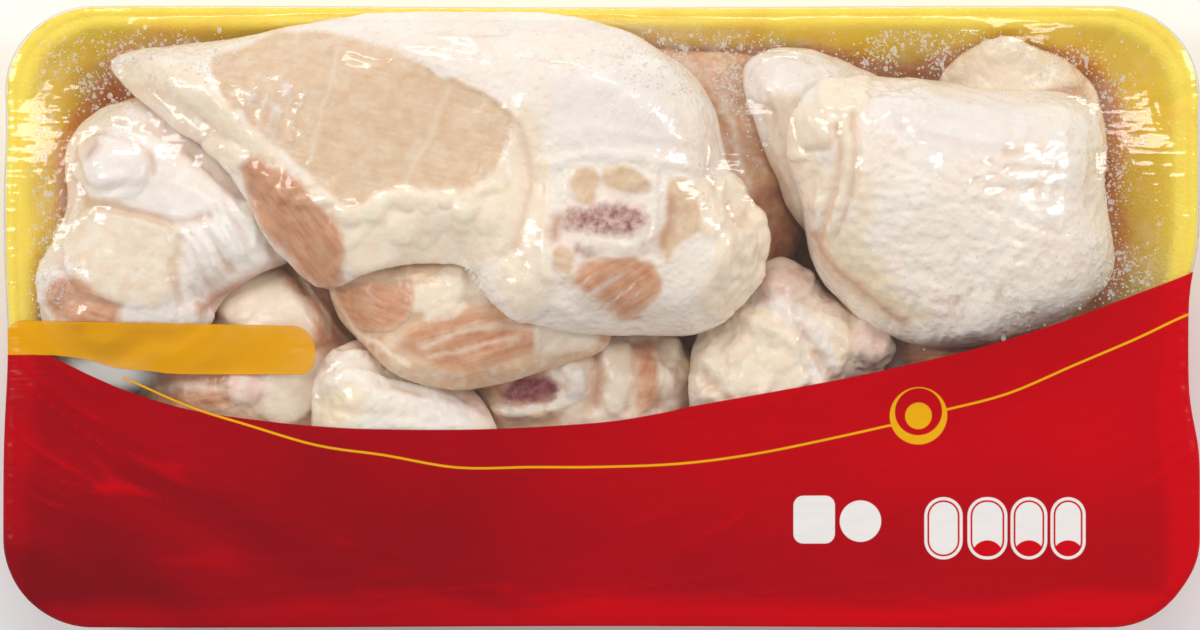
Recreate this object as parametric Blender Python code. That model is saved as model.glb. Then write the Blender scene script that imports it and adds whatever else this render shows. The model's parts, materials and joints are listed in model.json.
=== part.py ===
"""A cut-up whole chicken in a stretch-wrapped foam tray.

The pack lies flat, its film underneath touching z = 0, with its length along X and its width
along Y. The origin is the middle of the pack's footprint. Sizes are in metres, and outlines are
drawn in millimetres seen from above. The pieces are laid into the tray from the lowest to the
highest, and each one settles on what already lies there, as soft meat does.
"""

import math
from dataclasses import dataclass, field

import bpy
import numpy as np
from mathutils import Vector
from mathutils.bvhtree import BVHTree
from mathutils.geometry import delaunay_2d_cdt

MM = 0.001

# Driving sizes of the pack
PACK_LENGTH = 375 * MM
PACK_WIDTH = 195 * MM
PACK_CORNER = 28 * MM
FILM_THICKNESS = 0.4 * MM
FIT_GAP = 0.4 * MM
RIM_HEIGHT = 42 * MM
FOAM = 3.2 * MM

# What follows from them
RIM_LENGTH = PACK_LENGTH - 2 * (FILM_THICKNESS + FIT_GAP)
RIM_WIDTH = PACK_WIDTH - 2 * (FILM_THICKNESS + FIT_GAP)
TRAY_BOTTOM = FILM_THICKNESS + FIT_GAP
TRAY_FLOOR = TRAY_BOTTOM + FOAM

# The tray's wall leans out less along its sides than at its ends
SIDE_SLOPE_SHARE = 0.8
CORNER_TAPER = 0.35
CORNER_STEPS = 5
LENGTH_STEPS = 13
WIDTH_STEPS = 6

# The tray's section, from its underside up the outer wall, over the rim and down to its floor:
# how far in from the rim's edge, and how high
TRAY_SECTION = [
    (31.0 * MM, TRAY_BOTTOM),
    (28.5 * MM, TRAY_BOTTOM + 2.4 * MM),
    (7.5 * MM, RIM_HEIGHT - 5.0 * MM),
    (5.5 * MM, RIM_HEIGHT - 3.4 * MM),
    (1.2 * MM, RIM_HEIGHT - 3.8 * MM),
    (0.0 * MM, RIM_HEIGHT - 2.2 * MM),
    (1.2 * MM, RIM_HEIGHT - 0.4 * MM),
    (3.4 * MM, RIM_HEIGHT),
    (7.0 * MM, RIM_HEIGHT - 1.0 * MM),
    (10.0 * MM, RIM_HEIGHT - 4.6 * MM),
    (31.0 * MM, TRAY_FLOOR + 2.6 * MM),
    (34.0 * MM, TRAY_FLOOR),
]

# Underside of the film: its gathered edges meet in a long slot
FILM_BASE_INSET = 27 * MM
FILM_FOOT_HEIGHT = 3 * MM
FILM_FOOT_INSET = 3 * MM
SEAM_LENGTH = 210 * MM
SEAM_WIDTH = 7 * MM
SEAM_CORNER = 3 * MM
FILM_SKIRT_TOP = 37 * MM

# How finely the solids are cut into triangles
OUTLINE_STEP = 9.5 * MM
PIECE_SPACING = 9.5 * MM
FILM_SPACING = 11.5 * MM
EDGE_CLEARANCE = 0.6
CURVE_SAMPLES = 12
CLEAN_UP = 1e-7

# How the pieces settle
CELL = 1.5 * MM
CELL_OVERLAP = 0.02
REST_GAP = 0.7 * MM
LIP = 3 * MM
LEAST_MEAT = 4 * MM
SPREAD_ROUNDS = 8
TOP_SHARE = 0.55
LIFT_PASSES = 60
LIFT_DONE = 0.001 * MM
FILM_CELL = 6 * MM
FILM_ROUNDS = 400


@dataclass
class Cut:
    """One piece of chicken: its outline from above and how it lies.

    seat is the height of its widest line over the tray's floor, rise its crown above that line
    and drop its belly below it. shoulder is how far in from the edge it reaches full height,
    lean tips it, in mm of height for each mm along X and Y, and bulges are (x, y, radius,
    height), all in millimetres.
    """

    name: str
    outline: list
    seat: float
    rise: float
    drop: float
    shoulder: float
    material: str
    lean: tuple = (0.0, 0.0)
    bulges: list = field(default_factory=list)


CUTS = [
    Cut(
        name="back_tail",
        outline=[
            (107, 74), (121, 86), (129, 87), (144, 81), (155, 73), (159, 56),
            (156, 28), (150, 2), (128, -13), (103, -24), (86, -16), (85, 2), (92, 34),
        ],
        seat=17, rise=13, drop=15, shoulder=24, material="skin",
        bulges=[(128, 83, 9, 7), (104, -17, 12, 5)],
    ),
    Cut(
        name="breast_under",
        outline=[
            (-41, 76), (-13, 84), (28, 83), (50, 82), (62, 71), (65, 43), (62, 21),
            (50, 8), (25, 6), (0, 14), (-25, 30), (-42, 56),
        ],
        seat=16, rise=16, drop=14, shoulder=24, material="meat",
        bulges=[(50, 66, 16, 4)],
    ),
    Cut(
        name="drumstick_right",
        outline=[
            (45, 80), (53, 83), (67, 83), (84, 76), (103, 66), (121, 48), (119, 27),
            (102, 18), (81, 18), (64, 28), (53, 50), (44, 71),
        ],
        seat=24, rise=16, drop=15, shoulder=18, material="skin", lean=(0.04, 0.06),
        bulges=[(60, 74, 14, 4)],
    ),
    Cut(
        name="hip_joint",
        outline=[
            (-50, -12), (-31, -7), (-3, -3), (16, -4), (29, -12), (31, -26), (31, -48),
            (19, -68), (-13, -76), (-33, -70), (-41, -51), (-43, -31),
        ],
        seat=19, rise=16, drop=16, shoulder=18, material="meat", lean=(0, 0.1),
        bulges=[(-22, -21, 12, 4), (6, -18, 10, 4), (20, -19, 9, 3)],
    ),
    Cut(
        name="thigh_left",
        outline=[
            (-124, 3), (-113, 14), (-97, 18), (-86, 13), (-78, 0), (-75, -11),
            (-77, -33), (-85, -58), (-100, -73), (-122, -78), (-141, -70),
            (-149, -50), (-147, -26), (-136, -9),
        ],
        seat=19, rise=17, drop=16, shoulder=22, material="meat", lean=(0, 0.08),
        bulges=[(-100, 3, 16, 4), (-111, -22, 8, 4)],
    ),
    Cut(
        name="drumstick_left",
        outline=[
            (-90, -38), (-87, -15), (-79, -8), (-63, -10), (-44, -19), (-33, -34),
            (-34, -55), (-45, -75), (-66, -82), (-83, -75), (-91, -58),
        ],
        seat=25, rise=17, drop=18, shoulder=18, material="skin", lean=(0, 0.1),
        bulges=[(-72, -22, 16, 3)],
    ),
    Cut(
        name="wing_right",
        outline=[
            (29, -9), (36, -1), (45, 10), (55, 17), (63, 14), (74, 5), (88, -2),
            (93, -10), (86, -18), (79, -27), (75, -42), (60, -58), (39, -55),
            (31, -39), (28, -23),
        ],
        seat=25, rise=16, drop=18, shoulder=16, material="skin", lean=(0, 0.08),
        bulges=[(52, 9, 9, 3), (82, -9, 9, 3), (48, -20, 16, 4)],
    ),
    Cut(
        name="wing_left",
        outline=[
            (-164, 61), (-153, 68), (-138, 66), (-121, 55), (-106, 43), (-98, 29),
            (-95, 20), (-108, 13), (-120, 5), (-125, -4), (-141, -14), (-158, -20),
            (-171, -13), (-176, 3), (-175, 17), (-169, 28), (-166, 39), (-168, 52),
        ],
        seat=28, rise=17, drop=22, shoulder=17, material="skin", lean=(0, 0),
        bulges=[(-155, 12, 15, 5), (-112, 30, 16, 4), (-156, 43, 10, 4)],
    ),
    Cut(
        name="back_ribs",
        outline=[
            (-86, 12), (-80, 20), (-63, 23), (-34, 25), (-13, 20), (1, 2), (3, -8),
            (-9, -13), (-31, -20), (-47, -22), (-63, -17), (-72, -10), (-81, 0),
        ],
        seat=36, rise=12, drop=10, shoulder=16, material="meat", lean=(0, 0.1),
        bulges=[(-66, 2, 12, 3), (-34, -6, 14, 3)],
    ),
    Cut(
        name="thigh_right",
        outline=[
            (58, 58), (67, 73), (85, 74), (103, 73), (121, 70), (144, 70), (155, 62),
            (157, 49), (159, 30), (161, 14), (152, 3), (138, -3), (117, -9), (102, -9),
            (88, -3), (74, 6), (66, 16), (64, 32), (60, 46),
        ],
        seat=32, rise=18, drop=12, shoulder=22, material="skin", lean=(-0.02, 0.02),
        bulges=[(76, 30, 14, 3), (95, 0, 14, 3)],
    ),
    Cut(
        name="breast_top",
        outline=[
            (-155, 80), (-121, 85), (-86, 92), (-47, 94), (-8, 93), (18, 83), (34, 66),
            (38, 45), (49, 32), (51, 17), (42, 3), (31, -5), (13, -5), (-4, -4),
            (-22, -2), (-33, 4), (-37, 14), (-51, 18), (-69, 16), (-87, 9), (-104, 24),
            (-111, 38), (-124, 54), (-141, 66),
        ],
        seat=40, rise=19, drop=12, shoulder=24, material="skin", lean=(0.05, 0.0),
        bulges=[(-80, 60, 26, 3), (0, 22, 14, 3), (2, 66, 26, 4), (-98, 30, 12, -3)],
    ),
]


@dataclass
class Finish:
    """The plain surface that a sub-part has in the solid model."""

    colour: tuple
    roughness: float
    alpha: float = 1.0


FINISHES = {
    "foam": Finish(colour=(0.87, 0.56, 0.03, 1), roughness=0.55),
    "film": Finish(colour=(0.60, 0.01, 0.02, 1), roughness=0.15, alpha=0.5),
    "skin": Finish(colour=(0.83, 0.71, 0.60, 1), roughness=0.4),
    "meat": Finish(colour=(0.72, 0.42, 0.30, 1), roughness=0.35),
}


def clear_scene():
    """Removes what the file opened with."""
    for obj in list(bpy.data.objects):
        bpy.data.objects.remove(obj, do_unlink=True)


def make_material(name, finish):
    """A Principled material from a Finish."""
    material = bpy.data.materials.new(name)
    material.use_nodes = True
    shader = material.node_tree.nodes["Principled BSDF"]
    shader.inputs["Base Color"].default_value = finish.colour
    shader.inputs["Roughness"].default_value = finish.roughness
    shader.inputs["Metallic"].default_value = 0.0
    shader.inputs["Alpha"].default_value = finish.alpha
    return material


def add_object(name, points, faces, material):
    """A named mesh object in the scene, shaded smooth."""
    mesh = bpy.data.meshes.new(name)
    mesh.from_pydata([tuple(p) for p in points], [], [tuple(f) for f in faces])
    mesh.validate()
    mesh.shade_smooth()
    mesh.materials.append(material)
    obj = bpy.data.objects.new(name, mesh)
    bpy.context.scene.collection.objects.link(obj)
    return obj


def rounded_rectangle(half_length, half_width, radius):
    """Points anticlockwise round a rectangle with round corners, as many at every size."""
    points = []
    corners = [(1, 1, 0), (-1, 1, 90), (-1, -1, 180), (1, -1, 270)]
    for index, (sx, sy, start) in enumerate(corners):
        centre = np.array([sx * (half_length - radius), sy * (half_width - radius)])
        for step in range(CORNER_STEPS + 1):
            angle = math.radians(start + 90 * step / CORNER_STEPS)
            points.append(centre + radius * np.array([math.cos(angle), math.sin(angle)]))
        nx, ny, begin = corners[(index + 1) % 4]
        after = np.array([nx * (half_length - radius), ny * (half_width - radius)])
        angle = math.radians(begin)
        after = after + radius * np.array([math.cos(angle), math.sin(angle)])
        steps = LENGTH_STEPS if index % 2 == 0 else WIDTH_STEPS
        for step in range(1, steps):
            points.append(points[-step] * (1 - step / steps) + after * step / steps)
    return np.array(points)


def inset_rim(inset):
    """The tray's rim outline moved inwards by inset, less along its long sides."""
    return rounded_rectangle(
        RIM_LENGTH / 2 - inset,
        RIM_WIDTH / 2 - SIDE_SLOPE_SHARE * inset,
        PACK_CORNER - CORNER_TAPER * inset,
    )


def closed_curve(knots, step):
    """A smooth closed curve through the knots, in points about a step apart."""
    knots = np.array(knots, float)
    curve = []
    for i in range(len(knots)):
        a, b, c, d = (knots[(i + k) % len(knots)] for k in (-1, 0, 1, 2))
        for t in np.linspace(0, 1, CURVE_SAMPLES, endpoint=False):
            curve.append(
                0.5
                * (
                    2 * b
                    + (c - a) * t
                    + (2 * a - 5 * b + 4 * c - d) * t**2
                    + (3 * b - a - 3 * c + d) * t**3
                )
            )
    curve = np.array(curve)
    around = np.vstack([curve, curve[:1]])
    lengths = np.concatenate([[0], np.cumsum(np.linalg.norm(np.diff(around, axis=0), axis=1))])
    count = int(round(lengths[-1] / step))
    at = np.linspace(0, lengths[-1], count, endpoint=False)
    points = np.column_stack([np.interp(at, lengths, around[:, k]) for k in (0, 1)])
    return points if turned_area(points) > 0 else points[::-1]


def turned_area(points):
    """Twice the area inside plan points, above zero if they run anticlockwise."""
    x, y = points[:, 0], points[:, 1]
    return float(x @ np.roll(y, -1) - y @ np.roll(x, -1))


def edge_distance(points, outline):
    """How far each point is from the outline."""
    a, b = outline, np.roll(outline, -1, axis=0)
    along = b - a
    offset = points[:, None, :] - a[None, :, :]
    share = (offset * along).sum(2) / (along * along).sum(1)
    nearest = a + np.clip(share, 0, 1)[:, :, None] * along
    return np.linalg.norm(points[:, None, :] - nearest, axis=2).min(1)


def inside(points, outline):
    """Which points the outline holds, by counting the edges to their right."""
    a, b = outline, np.roll(outline, -1, axis=0)
    x, y = points[:, 0][:, None], points[:, 1][:, None]
    spans = (a[:, 1] > y) != (b[:, 1] > y)
    rise = np.where(b[:, 1] == a[:, 1], 1.0, b[:, 1] - a[:, 1])
    crossing = a[:, 0] + (y - a[:, 1]) * (b[:, 0] - a[:, 0]) / rise
    return (spans & (x < crossing)).sum(1) % 2 == 1


def fill_outline(outline, spacing):
    """(points, triangles) over the outline; its own points come first, in their order."""
    low, high = outline.min(0), outline.max(0)
    rows = np.arange(low[1], high[1], spacing * math.sqrt(0.75))
    grid = [
        (x, y)
        for row, y in enumerate(rows)
        for x in np.arange(low[0] + (row % 2) * spacing / 2, high[0], spacing)
    ]
    grid = np.array(grid)
    grid = grid[inside(grid, outline)]
    grid = grid[edge_distance(grid, outline) > EDGE_CLEARANCE * spacing]
    points = np.vstack([outline, grid])
    ring = list(range(len(outline)))
    found = delaunay_2d_cdt([Vector(p) for p in points], [], [ring], 1, CLEAN_UP)
    plan = np.array([tuple(p) for p in found[0]])
    triangles = [t if turned_area(plan[t]) > 0 else t[::-1] for t in found[2]]
    return plan, np.array(triangles)


class Pile:
    """How high the tray and the pieces laid so far reach, on a fine grid."""

    def __init__(self):
        self.x = np.arange(-PACK_LENGTH / 2, PACK_LENGTH / 2 + CELL, CELL)
        self.y = np.arange(-PACK_WIDTH / 2, PACK_WIDTH / 2 + CELL, CELL)
        self.height = np.zeros((len(self.x), len(self.y)))

    def add(self, obj):
        """Raises the pile to the top of obj."""
        corners = [v.co for v in obj.data.vertices]
        tree = BVHTree.FromPolygons(corners, [tuple(p.vertices) for p in obj.data.polygons])
        for i, x in enumerate(self.x):
            for j, y in enumerate(self.y):
                hit = tree.ray_cast(Vector((x, y, 1.0)), Vector((0, 0, -1)))[0]
                if hit is not None:
                    self.height[i, j] = max(self.height[i, j], hit.z)

    def guarded(self):
        """The heights, each raised to its highest neighbour, so that no edge slips between cells."""
        padded = np.pad(self.height, 1, mode="edge")
        shifts = [(i, j) for i in range(3) for j in range(3)]
        size_x, size_y = self.height.shape
        return np.max([padded[i : i + size_x, j : j + size_y] for i, j in shifts], axis=0)

    def at(self, points):
        """The guarded height under each point."""
        i = np.clip(np.round((points[:, 0] - self.x[0]) / CELL).astype(int), 0, len(self.x) - 1)
        j = np.clip(np.round((points[:, 1] - self.y[0]) / CELL).astype(int), 0, len(self.y) - 1)
        return self.guarded()[i, j]

    def lift(self, plan, triangles, heights, gap):
        """Heights raised, by as little as will do, where a triangle would touch the pile."""
        heights = np.maximum(heights, self.at(plan) + gap)
        floor = self.guarded() + gap
        cells = [self.cells_in(plan[t]) for t in triangles]
        for _ in range(LIFT_PASSES):
            worst = 0.0
            for corner_ids, (i, j, weights) in zip(triangles, cells):
                if len(i) == 0:
                    continue
                short = floor[i, j] - weights @ heights[corner_ids]
                deepest = short.argmax()
                if short[deepest] > 0:
                    share = np.clip(weights[deepest], 0, 1)
                    heights[corner_ids] += short[deepest] * share / (share @ share)
                    worst = max(worst, short[deepest])
            if worst < LIFT_DONE:
                break
        return heights

    def cells_in(self, corners):
        """Grid cells inside a plan triangle, with the weight of each of its corners there."""
        low = np.floor((corners.min(0) - [self.x[0], self.y[0]]) / CELL).astype(int)
        high = np.ceil((corners.max(0) - [self.x[0], self.y[0]]) / CELL).astype(int)
        i, j = np.meshgrid(
            np.arange(max(low[0], 0), min(high[0] + 1, len(self.x))),
            np.arange(max(low[1], 0), min(high[1] + 1, len(self.y))),
            indexing="ij",
        )
        i, j = i.ravel(), j.ravel()
        a, b, c = corners
        base = np.array([b - a, c - a]).T
        offset = np.column_stack([self.x[i] - a[0], self.y[j] - a[1]])
        share = np.linalg.solve(base, offset.T).T
        weights = np.column_stack([1 - share.sum(1), share])
        kept = (weights > -CELL_OVERLAP).all(1)
        return i[kept], j[kept], weights[kept]


def dome(distance, shoulder):
    """0 at the edge, 1 from the shoulder inwards, round between them."""
    share = np.clip(distance / shoulder, 0, 1)
    return np.sqrt(1 - (1 - share) ** 2)


def spread(values, triangles, rounds):
    """Values evened out over the corners of the triangles, a step outwards each round."""
    pairs = np.vstack([triangles[:, [a, b]] for a in range(3) for b in range(3) if a != b])
    count = np.bincount(pairs[:, 0], minlength=len(values))
    for _ in range(rounds):
        near = np.bincount(pairs[:, 0], values[pairs[:, 1]], minlength=len(values))
        values = (values + near / count) / 2
    return values


def lay_cut(cut, pile, material):
    """Builds one piece of chicken on the pile and adds it to the pile."""
    outline = closed_curve(np.array(cut.outline) * MM, OUTLINE_STEP)
    plan, triangles = fill_outline(outline, PIECE_SPACING)
    edge_count = len(outline)
    distance = edge_distance(plan, outline)
    middle = outline.mean(0)
    widest = TRAY_FLOOR + cut.seat * MM + (plan - middle) @ np.array(cut.lean)
    swell = dome(distance, cut.shoulder * MM)
    belly = widest - LIP / 2 - cut.drop * MM * swell
    bottom = pile.lift(plan, triangles, belly, REST_GAP)
    pushed_up = spread(bottom - belly, triangles, SPREAD_ROUNDS)
    top = widest + LIP / 2 + cut.rise * MM * swell + TOP_SHARE * pushed_up
    for x, y, radius, height in cut.bulges:
        away = np.linalg.norm(plan - np.array([x, y]) * MM, axis=1)
        top += height * MM * np.exp(-((away / (radius * MM)) ** 2))
    top = np.maximum(top, bottom + LIP + LEAST_MEAT * swell)
    upper = np.column_stack([plan, top])
    lower = np.column_stack([plan, bottom])
    count = len(plan)
    faces = [tuple(t) for t in triangles]
    faces += [tuple(count + t[::-1]) for t in triangles]
    for i in range(edge_count):
        j = (i + 1) % edge_count
        faces.append((i, count + i, count + j, j))
    obj = add_object(cut.name, np.vstack([upper, lower]), faces, material)
    pile.add(obj)
    return obj


def loft(rings, close_first, close_last):
    """(points, faces) of a skin through rings of equal count, with flat caps where asked."""
    count = len(rings[0])
    faces = []
    for level in range(len(rings) - 1):
        for i in range(count):
            j = (i + 1) % count
            a, b = level * count, (level + 1) * count
            faces.append((a + i, a + j, b + j, b + i))
    if close_first:
        faces.append(tuple(range(count))[::-1])
    if close_last:
        last = (len(rings) - 1) * count
        faces.append(tuple(range(last, last + count)))
    return np.vstack(rings), faces


def at_height(outline, height):
    """The outline as points in space."""
    return np.column_stack([outline, np.full(len(outline), height)])


def build_tray(material):
    """The foam tray: a flat floor, walls that lean out, and a rolled rim."""
    rings = [at_height(inset_rim(inset), height) for inset, height in TRAY_SECTION]
    points, faces = loft(rings, close_first=True, close_last=True)
    return add_object("tray", points, faces, material)


def stretched_heights(pile, rim_height):
    """Film heights on a coarse grid: a taut skin from the rim over whatever stands above it."""
    x = np.arange(-PACK_LENGTH / 2, PACK_LENGTH / 2 + FILM_CELL, FILM_CELL)
    y = np.arange(-PACK_WIDTH / 2, PACK_WIDTH / 2 + FILM_CELL, FILM_CELL)
    grid = np.array([(a, b) for a in x for b in y])
    under = pile.at(grid).reshape(len(x), len(y)) + REST_GAP
    outline = rounded_rectangle(PACK_LENGTH / 2, PACK_WIDTH / 2, PACK_CORNER)
    within = (inside(grid, outline) & (edge_distance(grid, outline) > FILM_CELL / 2)).reshape(
        len(x), len(y)
    )
    height = np.where(within, np.maximum(under, rim_height), rim_height)
    for _ in range(FILM_ROUNDS):
        wide = np.pad(height, 1, mode="edge")
        mean = (wide[2:, 1:-1] + wide[:-2, 1:-1] + wide[1:-1, 2:] + wide[1:-1, :-2]) / 4
        height = np.where(within, np.maximum(mean, under), rim_height)
    return x, y, height


def build_film(pile, material):
    """The film: taut over the pieces, round the rim, tapered down the walls, gathered below."""
    outline = rounded_rectangle(PACK_LENGTH / 2, PACK_WIDTH / 2, PACK_CORNER)
    plan, triangles = fill_outline(outline, FILM_SPACING)
    rim_height = RIM_HEIGHT + FIT_GAP
    x, y, coarse = stretched_heights(pile, rim_height)
    i = np.clip(np.round((plan[:, 0] - x[0]) / FILM_CELL).astype(int), 0, len(x) - 1)
    j = np.clip(np.round((plan[:, 1] - y[0]) / FILM_CELL).astype(int), 0, len(y) - 1)
    inner = pile.lift(plan, triangles, coarse[i, j], REST_GAP)
    heights = inner + FILM_THICKNESS + REST_GAP
    top = np.column_stack([plan, heights])
    base = (PACK_LENGTH / 2 - FILM_BASE_INSET, PACK_WIDTH / 2 - SIDE_SLOPE_SHARE * FILM_BASE_INSET)
    base_corner = PACK_CORNER - CORNER_TAPER * FILM_BASE_INSET
    foot = rounded_rectangle(
        base[0] - FILM_FOOT_INSET, base[1] - FILM_FOOT_INSET, base_corner - FILM_FOOT_INSET / 2
    )
    seam = rounded_rectangle(SEAM_LENGTH / 2, SEAM_WIDTH / 2, SEAM_CORNER)
    rings = [
        at_height(seam, 0.0),
        at_height(foot, 0.0),
        at_height(rounded_rectangle(*base, base_corner), FILM_FOOT_HEIGHT),
        at_height(outline, FILM_SKIRT_TOP),
    ]
    skirt, faces = loft(rings, close_first=False, close_last=False)
    count = len(outline)
    points = np.vstack([skirt, top])
    first_top = len(skirt)
    last_ring = first_top - count
    for a in range(count):
        b = (a + 1) % count
        faces.append((last_ring + a, last_ring + b, first_top + b, first_top + a))
    faces += [tuple(first_top + t) for t in triangles]
    obj = add_object("film", points, faces, material)
    thicken = obj.modifiers.new("Film thickness", "SOLIDIFY")
    thicken.thickness = FILM_THICKNESS
    thicken.offset = -1.0
    thicken.use_even_offset = True
    return obj


def main():
    clear_scene()
    materials = {name: make_material(name, finish) for name, finish in FINISHES.items()}
    pile = Pile()
    pile.add(build_tray(materials["foam"]))
    for cut in CUTS:
        lay_cut(cut, pile, materials[cut.material])
    build_film(pile, materials["film"])


main()
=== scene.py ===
"""Looks for a cut-up whole chicken in a foam tray, overwrapped in stretch film.

The pack lies flat and is seen from straight above. The solids give each piece's size and
place. This script carves and paints a fine copy of each piece of chicken, moulds the foam tray,
drapes the film over both, prints it, and lets water condense under it. Plan places are in
millimetres from the middle of the pack, X to the right and Y away from the printed side.
"""

import json
import logging
import math
from collections.abc import Callable
from dataclasses import dataclass, field
from enum import Enum
from functools import partial
from itertools import product

import bmesh
import bpy
import numpy as np
from mathutils import Vector
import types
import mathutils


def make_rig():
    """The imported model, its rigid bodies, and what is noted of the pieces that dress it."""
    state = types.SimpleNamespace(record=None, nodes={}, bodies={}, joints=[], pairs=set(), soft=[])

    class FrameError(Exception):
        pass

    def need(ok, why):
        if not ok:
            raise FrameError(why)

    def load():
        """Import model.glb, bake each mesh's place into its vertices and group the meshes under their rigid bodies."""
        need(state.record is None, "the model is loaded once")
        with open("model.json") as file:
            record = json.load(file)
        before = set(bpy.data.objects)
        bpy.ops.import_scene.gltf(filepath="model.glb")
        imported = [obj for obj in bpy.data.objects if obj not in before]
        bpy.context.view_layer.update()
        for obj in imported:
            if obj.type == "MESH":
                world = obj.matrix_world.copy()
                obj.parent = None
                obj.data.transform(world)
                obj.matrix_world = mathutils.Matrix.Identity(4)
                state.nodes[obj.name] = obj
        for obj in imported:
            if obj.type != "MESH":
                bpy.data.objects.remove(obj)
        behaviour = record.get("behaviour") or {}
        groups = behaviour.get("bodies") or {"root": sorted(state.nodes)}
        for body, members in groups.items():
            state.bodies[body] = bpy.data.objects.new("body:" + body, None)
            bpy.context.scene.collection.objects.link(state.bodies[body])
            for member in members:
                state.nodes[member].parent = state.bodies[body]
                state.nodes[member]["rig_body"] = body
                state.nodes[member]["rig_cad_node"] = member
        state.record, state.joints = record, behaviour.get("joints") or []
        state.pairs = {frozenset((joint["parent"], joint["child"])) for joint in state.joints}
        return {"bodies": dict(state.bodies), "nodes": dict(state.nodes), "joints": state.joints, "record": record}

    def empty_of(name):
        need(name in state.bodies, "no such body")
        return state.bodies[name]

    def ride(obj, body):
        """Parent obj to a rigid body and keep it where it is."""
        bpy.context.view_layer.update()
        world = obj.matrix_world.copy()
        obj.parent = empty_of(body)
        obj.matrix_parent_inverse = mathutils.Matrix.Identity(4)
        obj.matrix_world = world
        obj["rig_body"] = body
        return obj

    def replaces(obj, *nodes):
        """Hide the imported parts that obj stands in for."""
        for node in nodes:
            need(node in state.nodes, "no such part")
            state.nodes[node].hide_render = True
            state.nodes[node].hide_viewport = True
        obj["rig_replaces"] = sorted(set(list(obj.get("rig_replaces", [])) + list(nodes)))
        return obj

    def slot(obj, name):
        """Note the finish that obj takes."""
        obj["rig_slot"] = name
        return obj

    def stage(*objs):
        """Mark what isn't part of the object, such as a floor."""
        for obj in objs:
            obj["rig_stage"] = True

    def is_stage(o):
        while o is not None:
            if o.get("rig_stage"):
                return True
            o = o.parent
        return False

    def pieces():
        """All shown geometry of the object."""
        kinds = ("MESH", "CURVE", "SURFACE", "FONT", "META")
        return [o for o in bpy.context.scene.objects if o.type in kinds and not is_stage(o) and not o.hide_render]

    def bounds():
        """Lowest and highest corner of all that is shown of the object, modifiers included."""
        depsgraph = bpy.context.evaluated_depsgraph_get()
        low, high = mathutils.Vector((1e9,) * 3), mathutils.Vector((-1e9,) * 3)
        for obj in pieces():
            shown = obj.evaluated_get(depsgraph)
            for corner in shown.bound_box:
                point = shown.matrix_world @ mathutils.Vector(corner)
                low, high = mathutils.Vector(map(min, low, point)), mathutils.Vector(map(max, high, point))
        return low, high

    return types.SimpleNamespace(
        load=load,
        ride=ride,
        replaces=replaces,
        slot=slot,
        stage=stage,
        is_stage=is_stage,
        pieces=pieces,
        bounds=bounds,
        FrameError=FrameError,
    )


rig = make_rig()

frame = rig.load()
CAD_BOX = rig.bounds()

log = logging.getLogger("chicken_pack")

MM = 0.001
Plan = tuple[tuple[float, float], ...]

# The pack's outer sizes, as in the solids
HALF_LENGTH = 187.5
HALF_WIDTH = 97.5
CORNER_RADIUS = 28.0
RIM_HEIGHT = 42.0
TRAY_FLOOR = 4.0

# How far off a painted and a printed edge their stored distances reach, and what is beyond reach
PAINT_REACH = 4.0
PRINT_REACH = 20.0
FAR = 60.0

# How finely the long sides and the ends of the tray are cut
SIDE_STEPS, END_STEPS = 60, 24


def linear(code: str) -> tuple[float, float, float, float]:
    """Turns an sRGB hex colour into linear light.

    Args:
        code: Six hex digits after a hash.

    Returns:
        Red, green, blue and an alpha of 1.
    """
    parts = [int(code[i : i + 2], 16) / 255 for i in (1, 3, 5)]
    parts = [p / 12.92 if p <= 0.04045 else ((p + 0.055) / 1.055) ** 2.4 for p in parts]
    return (*parts, 1.0)


def mm(places: str) -> Plan:
    """Plan places in millimetres, from a line of x,y pairs."""
    return tuple((float(x), float(y)) for x, y in (pair.split(",") for pair in places.split()))


def smooth_step(values: np.ndarray, low: float, high: float) -> np.ndarray:
    """0 below low, 1 above high and a soft step between them."""
    share = np.clip((values - low) / (high - low), 0, 1)
    return share * share * (3 - 2 * share)


def add_node(
    tree: bpy.types.NodeTree, kind: str, inputs: dict | None = None, **settings: object
) -> bpy.types.Node:
    """Adds one shader node, sets it and links it.

    Args:
        tree: The material's node tree.
        kind: The node's type without its ShaderNode prefix.
        inputs: Values, sockets or nodes by input name or number. A node gives its output in use.
        settings: Node properties.

    Returns:
        The new node.
    """
    made = tree.nodes.new("ShaderNode" + kind)
    for name, value in settings.items():
        setattr(made, name, value)
    for key, value in (inputs or {}).items():
        if isinstance(value, bpy.types.Node):
            value = next(output for output in value.outputs if output.enabled)
        if isinstance(value, bpy.types.NodeSocket):
            tree.links.new(value, made.inputs[key])
        else:
            made.inputs[key].default_value = value
    return made


# A colour Mix node's two colours, whose sockets have numbers only
MIX_A, MIX_B = 6, 7

AddNode = Callable[..., bpy.types.Node]


def new_material(name: str) -> tuple[bpy.types.Material, AddNode]:
    """A material with an empty node tree, and add_node for that tree."""
    material = bpy.data.materials.new(name)
    material.use_nodes = True
    material.node_tree.nodes.clear()
    return material, partial(add_node, material.node_tree)


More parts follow.
